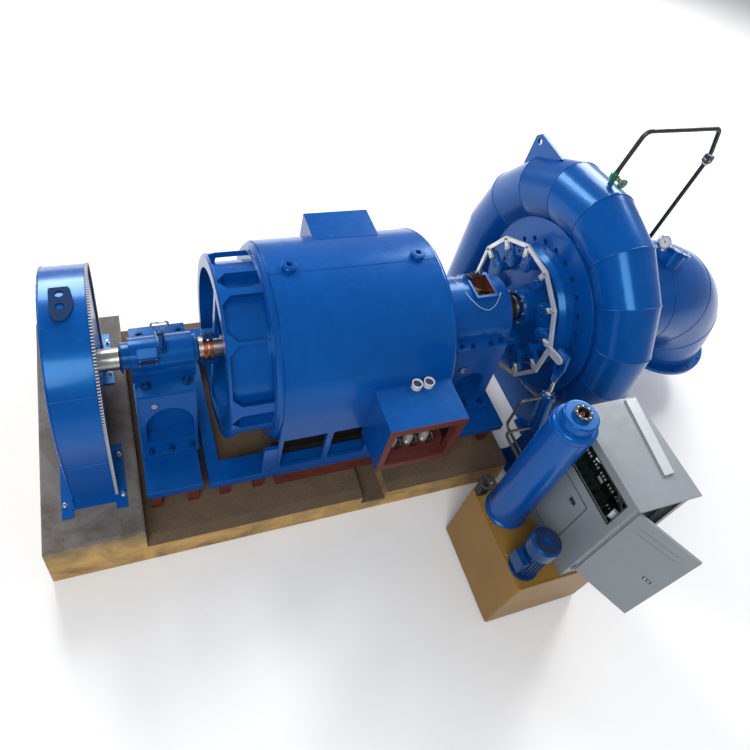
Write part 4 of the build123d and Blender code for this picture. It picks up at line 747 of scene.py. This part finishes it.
# servomotor: slot and ribs of the clevis, gland nut on the cylinder; it stands 13 degrees off upright
servo_a, servo_r, slot_drop = radians(13.0), 0.688, 0.062
up = Vector((0, sin(servo_a), cos(servo_a)))
side = Vector((0, cos(servo_a), -sin(servo_a)))
pin = Vector((1.518, -servo_r * cos(servo_a), SHAFT_Z + servo_r * sin(servo_a)))
face = Matrix(((0, 0, -1, 0), (side.y, up.y, 0, 0), (side.z, up.z, 0, 0), (0, 0, 0, 1)))
bm = bmesh.new()
block(bm, (0.014, 0.062, 0.0014), Matrix.Translation(pin + Vector((-0.0124, 0, 0)) - up * slot_drop) @ face)
piece("clevis_slot", bm, black, body="piston_rod")
bm = bmesh.new()
for x in (-0.016, 0.016):
    spot = Matrix.Translation(pin + Vector((-0.0132, 0, 0)) - up * slot_drop + side * x)
    block(bm, (0.008, 0.082, 0.006), spot @ face, 0.002)
piece("clevis_ribs", bm, blue, body="piston_rod")
bm = bmesh.new()
head = pin - up * 0.345
lathe(bm, [(0.0165, 0), (0.034, 0), (0.034, 0.016), (0.028, 0.022), (0.0165, 0.022)],
      facing(*head, up), closed=True)
for k in range(6):
    a = 2 * pi * k / 6
    spot = head + Vector((cos(a), 0, 0)) * 0.046 + side * (0.046 * sin(a))
    hex_bolt(bm, facing(*spot, up), 0.008, stud=0.004)
piece("servo_gland_nut", bm, bolt_steel)

# draft tube: girth seams, bolts of the tilted neck cover and the small union on the bypass pipe
girth = [(ring_points(facing(x, 0, SHAFT_Z, ALONG_X), TUBE_SEAM_R, 150), 0.0045, True)
         for x in (TUBE_X0, ELBOW_X)]
for turn in (30, 60, 90):
    a = radians(turn)
    centre = Vector((ELBOW_X + BEND_R * sin(a), 0, SHAFT_Z - BEND_R + BEND_R * cos(a)))
    girth.append((ring_points(facing(*centre, (cos(a), 0, -sin(a))), TUBE_SEAM_R, 150), 0.0045, True))
tubes("draft_tube_seams", girth, blue, sides=3)
neck = facing(2.847, -0.045, 1.604, (0.36, 0.26, 0.9)) @ move(0, 0, 0.020)
bm = bmesh.new()
for k in range(8):
    hex_bolt(bm, neck @ Matrix.Rotation(pi * (k + 0.5) / 4, 4, "Z") @ move(0.101, 0, 0), 0.012, stud=0.006)
piece("neck_cover_bolts", bm, bolt_steel)
bm = bmesh.new()
for z in (2.355, 2.386, 2.432):
    drum(bm, 0.030, 0.016, facing(2.7345, 0.14, z), 6)
piece("bypass_union", bm, bolt_steel)

# vent valve: gland nut and wheel nut on its stem
bm = bmesh.new()
drum(bm, 0.018, 0.020, facing(1.935, 0.100, 2.283, TO_FRONT), 6)
drum(bm, 0.010, 0.008, facing(1.935, 0.040, 2.283, TO_FRONT), 6)
piece("vent_valve_nuts", bm, brass)


# Pressure gauge: bezel, scale over 270 degrees and needle
dial = facing(2.667, -0.018, 1.710, (-0.30, -0.72, 0.62))
bm = bmesh.new()
lathe(bm, [(0.045, 0.012), (0.046, 0.020), (0.052, 0.021), (0.0565, 0.015), (0.0565, -0.010),
           (0.0535, -0.016)], dial, steps=48)
piece("gauge_bezel", bm, bolt_steel)
bm = bmesh.new()
for k in range(25):
    long, wide = (0.005, 0.0014) if k % 4 else (0.009, 0.0022)
    turn = Matrix.Rotation(radians(-45 + 270 * k / 24) - radians(90), 4, "Z")
    block(bm, (wide, long, 0.0006), dial @ turn @ move(0, 0.041 - long / 2, 0.0174))
block(bm, (0.003, 0.040, 0.0008), dial @ Matrix.Rotation(radians(35), 4, "Z") @ move(0, 0.012, 0.0182))
drum(bm, 0.006, 0.002, dial @ move(0, 0, 0.0174), 16)
piece("gauge_scale_and_needle", bm, black)


# Governor: tank lid with its screws, edge strip and breather
bm = bmesh.new()
block(bm, (0.290, 0.230, 0.006), facing(LID_X, LID_Y, TANK_TOP + 0.0028), 0.002)
block(bm, (0.770, 0.012, 0.006), facing(1.0865, -1.9685, TANK_TOP + 0.001), 0.002)
drum(bm, 0.034, 0.040, facing(BREATHER_X, BREATHER_Y, TANK_TOP), 28)
drum(bm, 0.044, 0.028, facing(BREATHER_X, BREATHER_Y, TANK_TOP + 0.040), 28, top=0.040)
piece("tank_lid_and_breather", bm, tan)
bm = bmesh.new()
for x in (-0.130, -0.045, 0.045, 0.130):
    for y in (-0.100, 0.100):
        hex_bolt(bm, facing(LID_X + x, LID_Y + y, TANK_TOP + 0.0056), 0.008)
for k in range(8):
    a = pi * (k + 0.5) / 4
    hex_bolt(bm, facing(VESSEL_X + 0.044 * cos(a), VESSEL_Y + 0.044 * sin(a), 1.9235), 0.006)
piece("governor_screws", bm, bolt_steel)

# port of the accumulator: black cup in its throat as painted shade, a seal ring and a crusted spigot
bm = bmesh.new()
lathe(bm, [(0.0, 0.0), (0.0352, 0.0), (0.0352, 0.048), (0.033, 0.048), (0.033, 0.004), (0.0, 0.004)],
      facing(VESSEL_X, VESSEL_Y, 1.8748))
lathe(bm, [(0.037, 0), (0.056, 0), (0.056, 0.006), (0.052, 0.009), (0.037, 0.009)],
      facing(VESSEL_X, VESSEL_Y, 1.9155), closed=True)
piece("port_painted_shade_and_seal", bm, black_iron)
bm = bmesh.new()
lathe(bm, [(0.008, 0.0), (0.017, 0.0), (0.017, 0.030), (0.013, 0.034), (0.008, 0.034)],
      facing(0.860, -1.446, 1.8788, (0.1, 0.1, 1)), closed=True, steps=20)
block(bm, (0.020, 0.010, 0.026), facing(0.886, -1.430, 1.892, (0.3, 0, 1)), 0.002)
piece("port_spigot", bm, red_oxide)
tubes("accumulator_seams", [(ring_points(facing(VESSEL_X, VESSEL_Y, z), VESSEL_SEAM_R, 120), 0.0025, True)
                            for z in (1.780, 0.730)], blue, sides=3)

# fan cowl of the pump motor: ring slots under a spoked grille
bm = bmesh.new()
for r in (0.028, 0.040, 0.052, 0.064, 0.076):
    lathe(bm, [(r, 0), (r + 0.007, 0), (r + 0.007, 0.0015), (r, 0.0015)], facing(MOTOR_X, MOTOR_Y, COWL_TOP),
          closed=True, steps=40)
piece("fan_slots", bm, black)
bm = bmesh.new()
for k in range(6):
    block(bm, (0.150, 0.005, 0.003), facing(MOTOR_X, MOTOR_Y, COWL_TOP + 0.001, turn=30 * k))
drum(bm, 0.022, 0.004, facing(MOTOR_X, MOTOR_Y, COWL_TOP), 24)
piece("fan_grille", bm, dark_blue)

# cabinet: pale roof strip, rubber frame of the window, lock and gap line of the lower panel
bm = bmesh.new()
plate(bm, [(1.369, -1.316), (1.449, -1.318), (1.371, -1.826), (1.299, -1.830)], 0.0025, move(0, 0, ROOF_Z))
piece("roof_strip_cover", bm, pale_plastic)
bm = bmesh.new()
for y, z, w, h in ((-1.7125, 1.6485, 0.413, 0.006), (-1.7125, 1.4075, 0.413, 0.006),
                   (-1.9175, 1.528, 0.006, 0.240), (-1.5075, 1.528, 0.006, 0.240)):
    block(bm, (0.010, w, h), facing(1.0155, y, z), 0.0015)
piece("window_rubber", bm, black)
bm = bmesh.new()
block(bm, (0.006, 0.050, 0.030), facing(1.0125, HATCH_LOCK_Y, HATCH_LOCK_Z), 0.002)
for y in (-0.012, 0.010):
    drum(bm, 0.008, 0.012, facing(1.010, HATCH_LOCK_Y + y, HATCH_LOCK_Z, TO_FLYWHEEL), 16)
piece("hatch_lock", bm, black)
gap_x, gap_r = 1.0146, 0.0022
gaps = [([Vector((gap_x, -1.771 + 0.0166 * k, z)) for k in range(26)], gap_r, False)
        for z in (0.800, 1.310)]
gaps += [([Vector((gap_x, y, 0.80 + 0.0196 * k)) for k in range(27)], gap_r, False)
         for y in (-1.771, -1.360)]
tubes("panel_gap_line", gaps, black, sides=2)

# fitted racks: five rows of six modules, their terminals, and the looms that hang before them
rack = [(row, col, RACK_Y0 + RACK_STEP_Y * col, RACK_Z0 - RACK_STEP_Z * row)
        for row in range(5) for col in range(6)]
bm = bmesh.new()
for row, col, y, z in rack:
    block(bm, (0.030, 0.078, 0.100), facing(1.306, y, z), 0.003)
for k in range(8):
    block(bm, (0.060, 0.040, 0.050), facing(1.160, -1.86 + 0.056 * k, 1.232 - 0.001 * (k % 2)), 0.002)
piece("rack_modules", bm, circuit)
bm = bmesh.new()
for row, col, y, z in rack:
    for k in range(3):
        block(bm, (0.008, 0.012, 0.018), facing(1.288, y - 0.024 + 0.024 * k, z + 0.022), 0.001)
    if (row + col) % 3 == 0:
        block(bm, (0.006, 0.050, 0.022), facing(1.289, y, z - 0.022), 0.001)
for y, z in ((-1.885, 1.44), (-1.560, 1.63), (-1.60, 1.61)):
    block(bm, (0.050, 0.026, 0.060), facing(1.070, y, z, (0.2, 0.1, 1)), 0.003)
piece("rack_terminals", bm, white)
looms = []
for k in range(14):
    y = -1.880 + 0.040 * k
    sag = 0.02 * sin(2.1 * k)
    looms.append(([Vector((1.284, y, 1.62)), Vector((1.240 + sag, y + 0.02, 1.56)),
                   Vector((1.225 - sag, y - 0.01, 1.45)), Vector((1.255, y + 0.03, 1.36)),
                   Vector((1.284, y + 0.01, 1.30))], 0.0045 + 0.001 * (k % 3), False))
trunk = ((1.10, -1.93, 1.26), (1.12, -1.90, 1.42), (1.10, -1.80, 1.55), (1.14, -1.62, 1.60),
         (1.20, -1.48, 1.56), (1.27, -1.42, 1.50))
looms.append(([Vector(p) for p in trunk], 0.011, False))
tubes("rack_looms", looms, black, sides=2)

# door: two rows of stitched slots and a flush lock
door_along = Vector((cos(DOOR_ANGLE), sin(DOOR_ANGLE), 0))
door_front = Vector((sin(DOOR_ANGLE), -cos(DOOR_ANGLE), 0))


def on_door(across, z):
    """Place on the outside of the leaf, measured from its hinge."""
    spot = DOOR_HINGE + door_along * across + door_front * 0.0158 + Vector((0, 0, z))
    return facing(*spot, door_front)


slots = 16
bm = bmesh.new()
for z, x0, x1 in ((1.540, 0.070, 0.290), (1.592, 0.064, 0.286)):
    for k in range(slots):
        spot = on_door(x0 + (x1 - x0) * (k + 0.5) / slots, z + 0.016 * (k + 0.5) / slots)
        block(bm, (0.009, 0.004, 0.0012), spot)
block(bm, (0.052, 0.030, 0.003), on_door(DOOR_LOCK_ACROSS, DOOR_LOCK_Z), 0.001)
piece("door_slots_and_lock", bm, black, body="door_leaf")
bm = bmesh.new()
for x in (-0.012, 0.010):
    block(bm, (0.014, 0.018, 0.004), on_door(DOOR_LOCK_ACROSS + x, DOOR_LOCK_Z), 0.001)
piece("door_lock_keys", bm, bolt_steel, body="door_leaf")


# Floor
floor_mesh = bpy.data.meshes.new("floor")
bm = bmesh.new()
bmesh.ops.create_grid(bm, x_segments=2, y_segments=2, size=60.0, matrix=move(0, 0, -0.002))
bm.to_mesh(floor_mesh)
bm.free()
floor = bpy.data.objects.new("floor", floor_mesh)
bpy.context.scene.collection.objects.link(floor)
floor_material, tree, shader, place = start("pale_floor")
shader.inputs["Base Color"].default_value = linear("E9E9E9")
shader.inputs["Roughness"].default_value = 0.9
shader.inputs["Specular IOR Level"].default_value = 0.1
floor_mesh.materials.append(floor_material)

# Light: an even sky and four large panels
world = bpy.data.worlds.new("studio")
bpy.context.scene.world = world
world.use_nodes = True
sky = world.node_tree.nodes["Background"]
sky.inputs["Color"].default_value = linear("F4F6FA")
sky.inputs["Strength"].default_value = 0.48


def softbox(name, where, look, size, power):
    """Rectangular lamp at one place, turned to look at another."""
    lamp = bpy.data.lights.new(name, "AREA")
    lamp.shape = "RECTANGLE"
    lamp.size, lamp.size_y = size
    lamp.energy = power
    obj = bpy.data.objects.new(name, lamp)
    bpy.context.scene.collection.objects.link(obj)
    obj.location = where
    obj.rotation_euler = (Vector(look) - Vector(where)).to_track_quat("-Z", "Y").to_euler()


softbox("key", (-3.5, -5.8, 7.4), (0.3, 0, 0.9), (4.0, 4.0), 500)
softbox("left_panel", (-2.6, 7.6, 6.4), (-1.8, 0, 1.7), (2.6, 5.4), 720)
softbox("right_panel", (9.0, 8.0, 7.6), (1.9, 0, 2.1), (6.2, 6.2), 1150)
softbox("crown_panel", (8.0, 3.0, 8.0), (2.6, 0, 2.1), (1.8, 1.8), 330)

# Camera
camera = bpy.data.cameras.new("photo_view")
camera.sensor_width = 36.0
camera.lens = 31.117
camera.shift_x = 0.01882
camera.shift_y = -0.07244
camera.clip_end = 100.0
eye = bpy.data.objects.new("photo_view", camera)
bpy.context.scene.collection.objects.link(eye)
eye.location = (-1.476, -2.771, 4.692)
eye.rotation_euler = (radians(41.2531), radians(-10.9179), radians(-18.4082))
bpy.context.scene.camera = eye
bpy.context.scene.view_settings.view_transform = "Standard"
